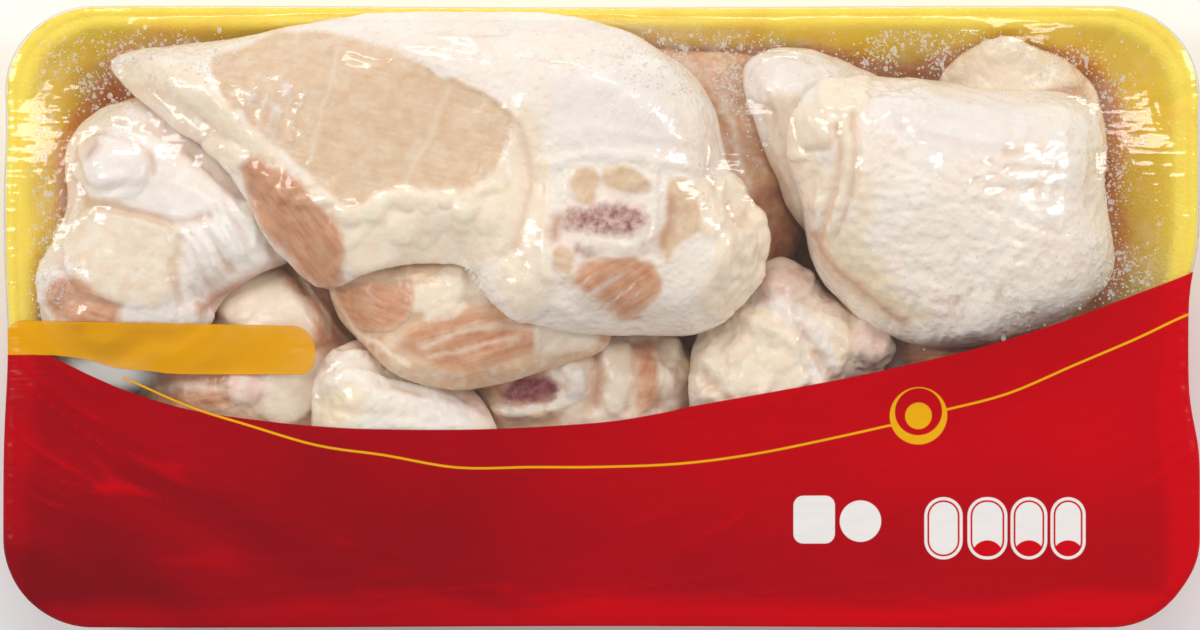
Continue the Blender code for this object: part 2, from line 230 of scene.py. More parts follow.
class Noise:
    """Smooth hills and hollows in space, the same on every run."""

    SIDE = 32

    def __init__(self, seed: int) -> None:
        """Draws the lattice of random heights."""
        rng = np.random.default_rng(seed)
        self.lattice = rng.random((self.SIDE, self.SIDE, self.SIDE)) * 2 - 1
        self.shifts = rng.random((self.SIDE, self.SIDE, self.SIDE, 3))

    def hills(self, points: np.ndarray, size: object) -> np.ndarray:
        """Heights from -1 to 1.

        Args:
            points: Places in millimetres, three to a row.
            size: Spacing of the hills, one number or three.

        Returns:
            One height for each place.
        """
        scaled = points / np.asarray(size, float)
        base = np.floor(scaled).astype(int)
        rest = scaled - base
        rest = rest * rest * (3 - 2 * rest)
        total = np.zeros(len(points))
        for corner in product((0, 1), repeat=3):
            share = np.prod(np.where(corner, rest, 1 - rest), axis=1)
            i, j, k = ((base + corner) % self.SIDE).T
            total += share * self.lattice[i, j, k]
        return total

    def layered(self, points: np.ndarray, size: float, layers: int) -> np.ndarray:
        """Hills with finer and lower hills on them."""
        total = np.zeros(len(points))
        for layer in range(layers):
            total += self.hills(points + 7.3 * layer, size / 2**layer) / 2**layer
        return total

    def nearest_seed(self, points: np.ndarray, size: float) -> np.ndarray:
        """Distance, in cells, from each place to the nearest of one random seed in each cell."""
        scaled = points / size
        base = np.floor(scaled).astype(int)
        best = np.full(len(points), 9.0)
        for corner in product((-1, 0, 1), repeat=3):
            cell = base + corner
            i, j, k = (cell % self.SIDE).T
            seed = cell + 0.15 + 0.7 * self.shifts[i, j, k]
            best = np.minimum(best, np.linalg.norm(scaled - seed, axis=1))
        return best


def curve_through(knots: Plan, closed: bool, steps: int = 5) -> np.ndarray:
    """A smooth curve through plan points.

    Args:
        knots: The points, in millimetres.
        closed: Whether the curve comes back to its start.
        steps: Points for each stretch between two knots.

    Returns:
        Points along the curve.
    """
    points = np.array(knots, float)
    if len(points) < 3:
        return points
    count = len(points)
    stretches = count if closed else count - 1
    curve = []
    for i in range(stretches):
        ids = [i - 1, i, i + 1, i + 2]
        ids = [k % count for k in ids] if closed else [min(max(k, 0), count - 1) for k in ids]
        a, b, c, d = points[ids]
        for t in np.linspace(0, 1, steps, endpoint=False):
            bend = (2 * a - 5 * b + 4 * c - d) * t**2 + (3 * b - a - 3 * c + d) * t**3
            curve.append(0.5 * (2 * b + (c - a) * t + bend))
    if not closed:
        curve.append(points[-1])
    return np.array(curve)


def distance_to(places: np.ndarray, curve: np.ndarray, closed: bool) -> np.ndarray:
    """Plan distance to a curve, below zero inside a closed one.

    Args:
        places: Plan places, two to a row.
        curve: The curve's points.
        closed: Whether its last point joins its first.

    Returns:
        One distance for each place; FAR where the curve is well out of reach.
    """
    result = np.full(len(places), FAR)
    margin = 4 * PAINT_REACH
    near = np.all((places > curve.min(0) - margin) & (places < curve.max(0) + margin), axis=1)
    some = places[near]
    if not len(some):
        return result
    if len(curve) == 1:
        result[near] = np.linalg.norm(some - curve[0], axis=1)
        return result
    start = curve if closed else curve[:-1]
    end = np.roll(curve, -1, axis=0) if closed else curve[1:]
    along = end - start
    offset = some[:, None, :] - start
    share = np.clip((offset * along).sum(2) / np.maximum((along**2).sum(1), 1e-9), 0, 1)
    found = np.linalg.norm(offset - share[:, :, None] * along, axis=2).min(1)
    if closed:
        spans = (start[:, 1] > some[:, 1:2]) != (end[:, 1] > some[:, 1:2])
        rise = np.where(along[:, 1] == 0, 1.0, along[:, 1])
        crossing = start[:, 0] + (some[:, 1:2] - start[:, 1]) * along[:, 0] / rise
        within = (spans & (some[:, 0:1] < crossing)).sum(1) % 2 == 1
        found = np.where(within, -found, found)
    result[near] = found
    return result


class Tissue(Enum):
    """What a patch of a piece is made of. Each value names its attribute."""

    THIN = "thin_skin"
    YELLOW = "yellow_tint"
    FAT = "fat"
    MUSCLE = "pale_muscle"
    PINK = "pink_muscle"
    MEMBRANE = "membrane"
    ROSE = "rosy_skin"
    BONE = "bone"
    MARROW = "marrow"
    CLOT = "clot"
    BLOOD = "blood"


class Pattern(Enum):
    """How a stretch of surface is textured."""

    PEBBLE = "pebble"
    CRINKLE = "crinkle"
    PLEAT = "pleat"
    LUMP = "lump"


@dataclass(frozen=True)
class Patch:
    """A stretch of one tissue, seen from above.

    lift raises it, edge is the width of that step, and turn is the angle of its fibres.
    """

    tissue: Tissue
    outline: Plan
    lift: float = 0.0
    edge: float = 2.5
    turn: float | None = None


@dataclass(frozen=True)
class Streak:
    """A line, or one round spot, of tissue. The smaller its width is, below zero too, the fainter
    it shows."""

    tissue: Tissue
    path: Plan
    width: float
    lift: float = 0.0


@dataclass(frozen=True)
class Fold:
    """A raised fold, or a crease where height is below zero."""

    path: Plan
    height: float
    width: float


@dataclass(frozen=True)
class Lobe:
    """A round lump."""

    place: tuple[float, float]
    radius: float
    height: float


@dataclass(frozen=True)
class Scallops:
    """A row of round lumps that run into each other, such as an edge of fat."""

    tissue: Tissue
    path: Plan
    radius: float
    height: float

    def away(self, plan: np.ndarray, rng: np.random.Generator) -> np.ndarray:
        """Distance to the nearest lump's rim as a share of its radius, below zero inside."""
        curve = curve_through(self.path, False)
        steps = np.linalg.norm(np.diff(curve, axis=0), axis=1)
        along = np.concatenate([[0], np.cumsum(steps)])
        count = max(2, round(along[-1] / (1.15 * self.radius)))
        nearest = np.full(len(plan), FAR)
        for place in np.linspace(0, along[-1], count):
            middle = np.array([np.interp(place, along, curve[:, k]) for k in (0, 1)])
            middle += rng.normal(0, 0.22 * self.radius, 2)
            radius = self.radius * rng.uniform(0.7, 1.2)
            share = np.linalg.norm((plan - middle) * (1, rng.uniform(0.8, 1.2)), axis=1) / radius
            nearest = np.minimum(nearest, share - 1)
        return nearest


@dataclass(frozen=True)
class Relief:
    """A stretch of surface with a pattern of bumps, each about size across."""

    pattern: Pattern
    outline: Plan
    size: float
    height: float
    turn: float = 0.0


@dataclass(frozen=True)
class TissueLook:
    """How one tissue looks: two colours that it wanders between, its fibres and its edge."""

    colour: str
    other: str
    fibre: float = 0.0
    edge: float = 0.06
    ragged: float = 0.16
    grit: bool = False


# Raw poultry under a wet surface: fat is creamy and smooth, muscle is fibrous and half clear,
# bone is pale and hard, and what has bled is dark
TISSUE_LOOKS = {
    Tissue.THIN: TissueLook("#F3E6DC", "#F8EEE6", edge=0.34, ragged=0.35),
    Tissue.YELLOW: TissueLook("#F8E0B8", "#F9E9D2", edge=0.4, ragged=0.7),
    Tissue.FAT: TissueLook("#FCECD6", "#F9E3C8", edge=0.14, ragged=0.3),
    Tissue.MUSCLE: TissueLook("#ECD3B6", "#E0BC96", fibre=0.3, edge=0.15, ragged=0.2),
    Tissue.PINK: TissueLook("#C98258", "#E2B18C", fibre=0.5, edge=0.26, ragged=0.5),
    Tissue.MEMBRANE: TissueLook("#F4E6D2", "#EDD6BC", edge=0.22, ragged=0.35),
    Tissue.ROSE: TissueLook("#E8C2AF", "#F1DBCC", edge=0.2, ragged=0.4),
    Tissue.BONE: TissueLook("#F0E6DA", "#E2D0C0", edge=0.1, ragged=0.2),
    Tissue.MARROW: TissueLook("#985C56", "#DCBBAC", edge=0.3, ragged=0.5, grit=True),
    Tissue.CLOT: TissueLook("#6A1F2A", "#A8585A", edge=0.25, ragged=0.5, grit=True),
    Tissue.BLOOD: TissueLook("#B36C4C", "#D09A76", edge=0.4, ragged=0.55),
}


@dataclass(frozen=True)
class RawPoultry:
    """Raw poultry: wet, half clear, and never one colour.

    Skin has follicle bumps about 3 mm apart. Light spreads a few millimetres under it, redder
    than it went in. base and other are the colours of what shows where no tissue is painted.
    """

    base: str
    other: str
    pores: float = 0.5
    fibre: float = 0.0

    PALE = "#FAF5EC"
    CREASE = "#DFB596"
    JUICE = "#CE8848"
    # Spacing in millimetres and detail of the broad, the fine and the gritty mottling
    NOISES = ((22.0, 1.0), (4.0, 2.5), (2.2, 2.0))
    # Fibre bundles are about 1.3 mm across and many times as long
    BUNDLE = (1.3, 16.0, 6.0)
    FOLLICLES = 2.7

    def build(self, name: str, tissues: list[Tissue]) -> bpy.types.Material:
        """Makes the material.

        Args:
            name: The material's name.
            tissues: The tissues that the piece is painted with, in painting order.

        Returns:
            The material.
        """
        material, add = new_material(name)
        coords = add("TexCoord").outputs["Object"]
        grain = add("Attribute", attribute_name="grain").outputs["Vector"]
        bare, fibre, crease, depth = (
            add("Attribute", attribute_name=stored).outputs["Fac"]
            for stored in ("bare", "fibre", "crease", "depth")
        )
        wander, fine, grit = (
            add("TexNoise", {"Vector": coords, "Scale": 1 / (size * MM), "Detail": detail})
            for size, detail in self.NOISES
        )
        stretched = add(
            "Mapping", {"Vector": grain, "Scale": tuple(1 / size for size in self.BUNDLE)}
        )
        strands = add("TexNoise", {"Vector": stretched, "Scale": 1.0, "Detail": 2.0})
        spread = add("MapRange", {"Value": wander, "From Min": 0.3, "From Max": 0.7})
        colour = add(
            "Mix",
            {0: spread, MIX_A: linear(self.base), MIX_B: linear(self.other)},
            data_type="RGBA",
        )
        mottle = add("MapRange", {"Value": fine, "From Min": 0.45, "From Max": 0.8, "To Max": 0.5})
        colour = add("Mix", {0: mottle, MIX_A: colour, MIX_B: linear(self.PALE)}, data_type="RGBA")
        for tissue in tissues:
            look = TISSUE_LOOKS[tissue]
            share = self.share_of(add, tissue, look, fine)
            pattern = add("Mix", {0: look.fibre, 2: fine, 3: strands}, data_type="FLOAT")
            if look.grit:
                pattern = grit
            contrast = add("MapRange", {"Value": pattern, "From Min": 0.32, "From Max": 0.68})
            tint = add(
                "Mix",
                {0: contrast, MIX_A: linear(look.colour), MIX_B: linear(look.other)},
                data_type="RGBA",
            )
            colour = add("Mix", {0: share, MIX_A: colour, MIX_B: tint}, data_type="RGBA")
        # Folds shade themselves, and juice gathers in the gaps between the pieces
        for stored, strength, shade in ((crease, 0.45, self.CREASE), (depth, 0.5, self.JUICE)):
            share = add("Math", {0: stored, 1: strength}, operation="MULTIPLY")
            colour = add("Mix", {0: share, MIX_A: colour, MIX_B: linear(shade)}, data_type="RGBA")
        height: object = 0.0
        if self.pores > 0.2:
            follicles = add(
                "TexVoronoi",
                {"Vector": coords, "Scale": 1 / (self.FOLLICLES * MM), "Randomness": 0.9},
                feature="F1",
            ).outputs["Distance"]
            goose = add("MapRange", {"Value": follicles, "From Min": 0.55, "From Max": 0.1})
            skin_share = add("Math", {0: bare, 1: 0.44 * self.pores}, operation="MULTIPLY")
            height = add("Math", {0: goose, 1: skin_share}, operation="MULTIPLY")
        threads = add("Math", {0: strands, 1: fibre}, operation="MULTIPLY")
        height = add("Math", {0: threads, 1: 0.5, 2: height}, operation="MULTIPLY_ADD")
        height = add("Math", {0: fine, 1: 0.9, 2: height}, operation="MULTIPLY_ADD")
        damp = add(
            "MapRange",
            {"Value": wander, "From Min": 0.3, "From Max": 0.7, "To Min": 0.26, "To Max": 0.46},
        )
        bump = add("Bump", {"Strength": 0.8, "Distance": 1.0 * MM, "Height": height})
        shader = add(
            "BsdfPrincipled",
            {
                "Base Color": colour,
                "Roughness": damp,
                "IOR": 1.4,
                "Subsurface Weight": 0.2,
                "Subsurface Radius": (1.0, 0.42, 0.28),
                "Subsurface Scale": 3.0 * MM,
                "Coat Weight": 0.45,
                "Coat Roughness": 0.12,
                "Coat IOR": 1.33,
                "Normal": bump,
            },
        )
        add("OutputMaterial", {"Surface": shader})
        return material

    def share_of(
        self, add: AddNode, tissue: Tissue, look: TissueLook, ragged: object
    ) -> bpy.types.Node:
        """How much of a tissue shows: its painted edge, made ragged by a noise."""
        painted = add("Attribute", attribute_name=tissue.value).outputs["Fac"]
        shifted = add("Math", {0: ragged, 1: look.ragged, 2: painted}, operation="MULTIPLY_ADD")
        middle = 0.5 + look.ragged / 2
        return add(
            "MapRange",
            {"Value": shifted, "From Min": middle - look.edge, "From Max": middle + look.edge},
            interpolation_type="SMOOTHSTEP",
        )


class HeightMap:
    """Heights over the pack's plan on a fine grid, in millimetres."""

    CELL = 1.25

    def __init__(self) -> None:
        """Lays an empty grid."""
        self.x = np.arange(-HALF_LENGTH, HALF_LENGTH + self.CELL, self.CELL)
        self.y = np.arange(-HALF_WIDTH, HALF_WIDTH + self.CELL, self.CELL)
        self.height = np.zeros((len(self.x), len(self.y)))

    def add(self, points: np.ndarray) -> None:
        """Raises the grid to the highest of the points that fall in each cell."""
        i = np.clip(np.round((points[:, 0] - self.x[0]) / self.CELL), 0, len(self.x) - 1)
        j = np.clip(np.round((points[:, 1] - self.y[0]) / self.CELL), 0, len(self.y) - 1)
        np.maximum.at(self.height, (i.astype(int), j.astype(int)), points[:, 2])

    def close_gaps(self) -> None:
        """Fills cells that no point fell in from their neighbours."""
        wide = np.pad(self.height, 1, mode="edge")
        size_x, size_y = self.height.shape
        around = [wide[i : i + size_x, j : j + size_y] for i, j in product(range(3), repeat=2)]
        self.height = np.where(self.height < TRAY_FLOOR, np.max(around, axis=0), self.height)

    def blurred(self, field_: np.ndarray, rounds: int) -> np.ndarray:
        """A grid of values evened out over its neighbours, a cell outwards each round."""
        for _ in range(rounds):
            field_ = (field_ + self.around(field_)) / 2
        return field_

    def around(self, field_: np.ndarray) -> np.ndarray:
        """The mean of each cell's four neighbours."""
        wide = np.pad(field_, 1, mode="edge")
        return (wide[2:, 1:-1] + wide[:-2, 1:-1] + wide[1:-1, 2:] + wide[1:-1, :-2]) / 4

    def at(self, field_: np.ndarray, places: np.ndarray) -> np.ndarray:
        """Reads a grid of values between its cells."""
        u = np.clip((places[:, 0] - self.x[0]) / self.CELL, 0, len(self.x) - 1.001)
        v = np.clip((places[:, 1] - self.y[0]) / self.CELL, 0, len(self.y) - 1.001)
        i, j = u.astype(int), v.astype(int)
        a, b = u - i, v - j
        low = field_[i, j] * (1 - a) + field_[i + 1, j] * a
        high = field_[i, j + 1] * (1 - a) + field_[i + 1, j + 1] * a
        return low * (1 - b) + high * b

    def plan(self) -> np.ndarray:
        """The plan place of each cell, two to a row."""
        return np.array(np.meshgrid(self.x, self.y, indexing="ij")).reshape(2, -1).T


def turned(points: np.ndarray, angle: object) -> tuple[np.ndarray, np.ndarray]:
    """Places along and across a direction in the plan, its angle in radians."""
    along = points[:, 0] * np.cos(angle) + points[:, 1] * np.sin(angle)
    across = -points[:, 0] * np.sin(angle) + points[:, 1] * np.cos(angle)
    return along, across


def mesh_points(obj: bpy.types.Object) -> np.ndarray:
    """A mesh's points in millimetres, three to a row."""
    flat = np.empty(len(obj.data.vertices) * 3)
    obj.data.vertices.foreach_get("co", flat)
    return flat.reshape(-1, 3) / MM


def set_mesh_points(obj: bpy.types.Object, points: np.ndarray) -> None:
    """Moves a mesh's points to places in millimetres."""
    obj.data.vertices.foreach_set("co", (points * MM).ravel())
    obj.data.update()


def mesh_normals(obj: bpy.types.Object) -> np.ndarray:
    """A mesh's point normals."""
    flat = np.empty(len(obj.data.vertices) * 3)
    obj.data.vertex_normals.foreach_get("vector", flat)
    return flat.reshape(-1, 3)


def store_attribute(obj: bpy.types.Object, name: str, values: np.ndarray) -> None:
    """Keeps a number, or a vector, at each point of a mesh."""
    kind, key = ("FLOAT", "value") if values.ndim == 1 else ("FLOAT_VECTOR", "vector")
    layer = obj.data.attributes.new(name, kind, "POINT")
    layer.data.foreach_set(key, values.astype(np.float32).ravel())


def choose_only(obj: bpy.types.Object) -> None:
    """Deselects all else and makes obj the active object."""
    bpy.ops.object.select_all(action="DESELECT")
    obj.select_set(True)
    bpy.context.view_layer.objects.active = obj


def apply_modifier(obj: bpy.types.Object, kind: str, **settings: object) -> None:
    """Adds a modifier, sets it and applies it."""
    choose_only(obj)
    modifier = obj.modifiers.new(kind.title(), kind)
    for name, value in settings.items():
        setattr(modifier, name, value)
    bpy.ops.object.modifier_apply(modifier=modifier.name)


def hand_over(piece: bpy.types.Object, slot: str, *nodes: str) -> None:
    """Tells the frame what a finished piece rides on, is made of and stands for."""
    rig.ride(piece, "root")
    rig.slot(piece, slot)
    if nodes:
        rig.replaces(piece, *nodes)
    log.info("%s: %d faces", piece.name, len(piece.data.polygons))


@dataclass
class ChickenPiece:
    """One piece of raw chicken: a fine copy of its solid, carved and painted from above."""

    node: str
    slot: str
    finish: RawPoultry
    features: tuple = ()
    voxel: float = 0.85
    grain_turn: float = 0.0
    rough: float = 1.0
    seed: int = 1
    plump: float = 1.3
    obj: bpy.types.Object | None = field(default=None, init=False)

    SETTLE = 6
    ROUNDING = 2
    # Height and spacing of the soft unevenness that raw meat has all over
    UNEVEN = ((1.1, 22), (0.55, 9), (0.16, 4))
    # Spacing of the waves that bend painted edges, and how far they reach
    EDGE_WAVES = ((14.0, 1.5), (5.0, 0.9))
    # How far below the film juice starts to darken a piece, and where it is darkest
    SHADE_DEPTH = (21.0, 50.0)

    def build(self) -> bpy.types.Object:
        """Makes the piece's mesh."""
        self.obj = self.copy_solid()
        self.carve()
        self.paint()
        return self.obj

    def copy_solid(self) -> bpy.types.Object:
        """Copies the node's mesh and rounds it into a fine even mesh."""
        source = frame["nodes"][self.node]
        obj = bpy.data.objects.new("raw_" + self.node, source.data.copy())
        bpy.context.scene.collection.objects.link(obj)
        choose_only(obj)
        bpy.ops.object.mode_set(mode="EDIT")
        bpy.ops.mesh.select_all(action="SELECT")
        bpy.ops.mesh.remove_doubles(threshold=0.01 * MM)
        bpy.ops.object.mode_set(mode="OBJECT")
        apply_modifier(obj, "SUBSURF", levels=self.ROUNDING, render_levels=self.ROUNDING)
        apply_modifier(obj, "REMESH", mode="VOXEL", voxel_size=self.voxel * MM)
        apply_modifier(obj, "SMOOTH", factor=0.5, iterations=self.SETTLE)
        bpy.ops.object.shade_smooth()
        return obj

    def carve(self) -> None:
        """Raises and lowers the surface by what each feature says."""
        points, normals = mesh_points(self.obj), mesh_normals(self.obj)
        noise = Noise(self.seed)
        facing_up = smooth_step(normals[:, 2], 0.0, 0.6)
        uneven = sum(height * noise.hills(points, size) for height, size in self.UNEVEN)
        rise = self.plump + self.rough * uneven
        folds = np.zeros(len(points))
        for feature in self.features:
            lift = facing_up * self.rise_of(feature, points, noise)
            rise += lift
            if not isinstance(feature, (Patch, Streak)):
                folds += lift
        store_attribute(self.obj, "crease", smooth_step(-folds, -0.1, 1.3))
        points = points + normals * rise[:, None]
        set_mesh_points(self.obj, points)
        apply_modifier(self.obj, "SMOOTH", factor=0.35, iterations=1)

    def rise_of(self, feature: object, points: np.ndarray, noise: Noise) -> np.ndarray:
        """How far one feature moves each point outwards, in millimetres."""
        plan = points[:, :2] + 0.7 * np.column_stack(
            [noise.hills(points + 50, 6), noise.hills(points + 90, 6)]
        )
        match feature:
            case Patch(lift=0.0) | Streak(lift=0.0):
                return np.zeros(len(points))
            case Patch(lift=lift, edge=edge, outline=outline):
                away = distance_to(plan, curve_through(outline, True), True)
                return lift * smooth_step(-away, -edge / 2, edge / 2)
            case Streak(path=path, width=width, lift=lift):
                away = distance_to(plan, curve_through(path, False), False)
                return lift * np.exp(-((away / (0.6 * width)) ** 2))
            case Fold(path=path, height=height, width=width):
                away = distance_to(plan, curve_through(path, False), False)
                return height * np.exp(-((away / width) ** 2))
            case Lobe(place=place, radius=radius, height=height):
                share = np.linalg.norm(plan - np.array(place), axis=1) / radius
                return height * np.sqrt(np.clip(1 - share**2, 0, 1))
            case Scallops(height=height):
                share = np.clip(1 + feature.away(plan, np.random.default_rng(self.seed)), 0, 1)
                return height * np.sqrt(1 - share**2)
            case Relief():
                return self.relief(feature, points, noise)
        raise TypeError(f"no such feature: {feature!r}")

    def relief(self, feature: Relief, points: np.ndarray, noise: Noise) -> np.ndarray:
        """The bumps of one Relief."""
        away = distance_to(points[:, :2], curve_through(feature.outline, True), True)
        mask = smooth_step(-away, -2.0, 4.0)
        near = mask > 0
        bumps = np.zeros(len(points))
        some = points[near]
        if feature.pattern is Pattern.PEBBLE:
            spread = noise.nearest_seed(some, feature.size)
            bumps[near] = 1 - 1.6 * spread
        elif feature.pattern is Pattern.CRINKLE:
            bumps[near] = 1 - 2.4 * np.abs(noise.layered(some, feature.size, 2))
        elif feature.pattern is Pattern.LUMP:
            bumps[near] = noise.layered(some, feature.size, 2)
        else:
            along, across = turned(some, math.radians(feature.turn))
            laid = np.column_stack([across, along, some[:, 2]])
            sizes = (feature.size, feature.size * 6, feature.size * 4)
            bumps[near] = 1 - 2.4 * np.abs(noise.hills(laid, sizes))
        return feature.height * mask * bumps

    def paint(self) -> None:
        """Stores each tissue's painted edge, and the fibres' direction, on the mesh."""
        points = mesh_points(self.obj)
        upper = smooth_step(mesh_normals(self.obj)[:, 2], -0.35, 0.0)
        noise = Noise(self.seed + 100)
        plan = points[:, :2].copy()
        for size, reach in self.EDGE_WAVES:
            for axis, shift in ((0, 50.0), (1, 90.0)):
                plan[:, axis] += reach * noise.hills(points + shift, size)
        painted: dict[Tissue, np.ndarray] = {}
        turn = np.full(len(points), math.radians(self.grain_turn))
        for feature in self.features:
            if isinstance(feature, Patch):
                away = distance_to(plan, curve_through(feature.outline, True), True)
                if feature.turn is not None:
                    turn = np.where(away < 1, math.radians(feature.turn), turn)
            elif isinstance(feature, Streak):
                curve = curve_through(feature.path, False)
                away = distance_to(plan, curve, False) - feature.width / 2
            elif isinstance(feature, Scallops):
                away = feature.away(plan, np.random.default_rng(self.seed)) * feature.radius
            else:
                continue
            value = np.clip(0.5 - away / (2 * PAINT_REACH), 0, 1) * upper
            painted[feature.tissue] = np.maximum(painted.get(feature.tissue, 0), value)
        bare = np.ones(len(points))
        fibre = np.full(len(points), self.finish.fibre)
        for tissue in Tissue:
            if tissue not in painted:
                continue
            store_attribute(self.obj, tissue.value, painted[tissue])
            share = smooth_step(painted[tissue], 0.44, 0.56)
            bare *= 1 - 0.85 * share
            fibre = fibre * (1 - share) + TISSUE_LOOKS[tissue].fibre * share
        store_attribute(self.obj, "bare", bare)
        store_attribute(self.obj, "fibre", fibre)
        along, across = turned(points, turn)
        store_attribute(self.obj, "grain", np.column_stack([across, along, points[:, 2]]))

    def dress(self, tops: HeightMap, cover: np.ndarray) -> None:
        """Stores how deep each point lies under the cover, gives the finish and hands over."""
        points = mesh_points(self.obj)
        below = tops.at(cover, points[:, :2]) - points[:, 2]
        store_attribute(self.obj, "depth", smooth_step(below, *self.SHADE_DEPTH))
        used = {f.tissue for f in self.features if isinstance(f, (Patch, Streak, Scallops))}
        tissues = [t for t in Tissue if t in used]
        self.obj.data.materials.clear()
        self.obj.data.materials.append(self.finish.build("raw_poultry_" + self.node, tissues))
        hand_over(self.obj, self.slot, self.node)


# Short names for the pieces' lists of features
THIN, YELLOW, FAT, MUSCLE, PINK, MEMBRANE, ROSE, BONE, MARROW, CLOT, BLOOD = Tissue
PEBBLE, CRINKLE, PLEAT, LUMP = Pattern

# What shows between the painted tissues
SKIN = RawPoultry(base="#FCEDDC", other="#F4DFCA")
PALE_SKIN = RawPoultry(base="#FDF0E3", other="#F9E6D5", pores=0.7)
ROSY_SKIN = RawPoultry(base="#FFF6ED", other="#F8E8DD", pores=0.35)
FLESH = RawPoultry(base="#E9C9A6", other="#DAAC84", pores=0.1, fibre=0.5)
TAN_FLESH = RawPoultry(base="#E3B184", other="#D29A66", pores=0.1, fibre=0.4)


def breast_top() -> ChickenPiece:
    """The breast half on top: skin drawn back from a lens of pale muscle."""
    features = (
        Patch(FAT, mm(
            "-149,78 -137,80 -124,75 -112,62 -97,47 -92,40 -96,33 -110,43 -127,58 -145,69"), 0.5),
        Patch(FAT, mm(
            "-85,39 -75,35 -63,38 -41,38 -33,41 -28,32 -30,21 -39,15 -57,17 -72,14 -83,16 "
            "-89,26"), 0.8),
        Patch(MUSCLE, mm(
            "-121,78 -114,83 -99,88 -74,86 -51,76 -31,65 -28,60 -31,47 -40,39 -57,39 -68,39 -77,35 "
            "-84,39 -93,47 -104,55 -116,66"), -0.9, 3.0, -14),
        Patch(FAT, mm("-30,67 -22,64 -16,49 -16,36 -17,21 -16,8 -22,1 -30,5 -32,17 -28,32 -28,60")),
        Patch(PINK, mm(
            "-110,49 -99,45 -93,42 -85,33 -80,25 -79,17 -85,8 -93,13 -100,21 "
            "-108,32"), 0.6, 3.0, -52),
        Patch(MUSCLE, mm("-9,43 -7,46 -3,46 0,43 -2,38 -4,35 -8,36 -10,40"), 0.8, 3.0, 60),
        Patch(MUSCLE, mm("1,44 5,47 10,46 14,43 14,39 10,38 5,39 1,41"), 0.9, 3.0, 20),
        Patch(MUSCLE, mm("-15,20 -12,22 -9,20 -9,15 -10,12 -14,15"), 0.6),
        Patch(PINK, mm(
            "-9,11 -4,16 1,18 8,18 15,16 18,12 17,7 13,3 8,0 3,2 -3,6 -7,8"), 0.8, 5.0, 32),
        Patch(MUSCLE, mm("8,17 16,16 18,11 16,4 9,0 6,5 10,10"), 0.0, 4.0, 32),
        Patch(MUSCLE, mm("20,41 25,43 28,40 30,31 29,25 24,20 21,17 19,24 19,33"), 0.5, 3.0, 80),
        Streak(BLOOD, mm("20,35 21,28 20,21"), 1.2),
        Patch(BONE, mm("-5,25 -3,23 5,22 10,23 13,28 15,28 15,22 11,19 3,18 -4,20"), 1.2),
        Patch(MARROW, mm(
            "-10,33 -8,34 -5,33 -2,35 6,35 12,33 13,28 9,25 1,25 -4,26 -9,26 -11,29"), 0.6, 2.0),
        Streak(MARROW, mm("-7,21 -5,20 -3,19"), 1.6),
        Patch(FAT, mm("29,41 33,43 37,36 36,28 32,24 29,30"), 1.4),
        Patch(FAT, mm("35,42 43,43 48,36 52,25 51,15 46,5 37,0 31,5 33,17 36,28"), 0.5),
        Patch(YELLOW, mm("-36,38 -27,43 -24,33 -27,23 -32,25")),
        Patch(THIN, mm("-14,73 12,77 22,65 20,52 3,49 -13,55")),
        Scallops(FAT, mm("-133,62 -127,57 -118,52 -106,43 -98,38"), 4.2, 1.5),
        Scallops(FAT, mm("-93,41 -85,37 -77,33 -68,36 -57,36 -40,38 -32,44"), 4.6, 1.6),
        Scallops(FAT, mm("-82,28 -72,30 -60,28 -47,30 -35,30"), 5.0, 1.1),
        Scallops(FAT, mm("36,42 45,38 50,28 52,16 47,5 40,0"), 4.6, 1.6),
        Streak(MEMBRANE, mm("-82,83 -84,74 -86,62 -90,49"), 0.6),
        Streak(MEMBRANE, mm("-94,85 -96,74 -98,62"), -1.6),
        Streak(MEMBRANE, mm("-47,70 -51,58 -56,49 -60,41"), 0.2),
        Streak(MEMBRANE, mm("-85,62 -63,63 -41,58"), -2.6),
        Streak(BLOOD, mm("-109,45 -106,43"), 3.0),
        Streak(BLOOD, mm("-14,25 -13,30"), 2.0),
        Lobe((-31, 12), 7, 1.6),
        Lobe((-23, 6), 7, 1.5),
        Lobe((-28, 3), 6, 1.2),
        Fold(mm("-26,58 -22,46 -23,33 -27,21"), -1.0, 1.6),
        Fold(mm("-17,47 -16,36 -17,24 -17,13"), 1.3, 2.0),
        Fold(mm("-13,47 0,50 15,49 28,45"), 1.0, 1.8),
        Fold(mm("15,46 16,33 15,21"), 1.2, 1.8),
        Fold(mm("-13,5 0,-2 12,-4 28,-2"), 1.0, 2.4),
        Fold(mm("-94,38 -85,40 -79,35"), -0.9, 1.2),
        Fold(mm("-89,15 -94,19 -101,28 -108,38"), -0.8, 1.4),
        Fold(mm("-87,9 -89,15 -93,18"), 0.9, 2.2),
        Fold(mm("31,62 36,52 40,43"), -0.7, 1.6),
        Fold(mm("-41,90 -13,80 12,65 28,49"), 0.9, 5.0),
        Fold(mm("-141,72 -126,64 -113,53"), -0.6, 1.6),
        Relief(LUMP, mm("31,46 50,46 53,24 50,-1 31,-4 28,18"), 6.0, 0.9),
        Relief(PEBBLE, mm("31,44 50,43 53,24 49,-2 32,-3 35,21"), 3.0, 0.6),
        Relief(CRINKLE, mm("32,44 50,44 53,21 48,-2 32,-2 35,21"), 4.0, 0.45),
        Relief(LUMP, mm("-85,38 -32,38 -32,17 -85,15"), 9.0, 0.6),
        Relief(PLEAT, mm(
            "-120,93 -32,95 12,87 31,65 31,49 -13,52 -26,65 -51,80 -94,90"), 6.0, 0.35, -10),
        Relief(CRINKLE, mm("-13,46 15,47 17,-1 -13,-1"), 5.0, 0.35),
    )
    return ChickenPiece("breast_top", "skin", PALE_SKIN, features, grain_turn=-14, seed=3)


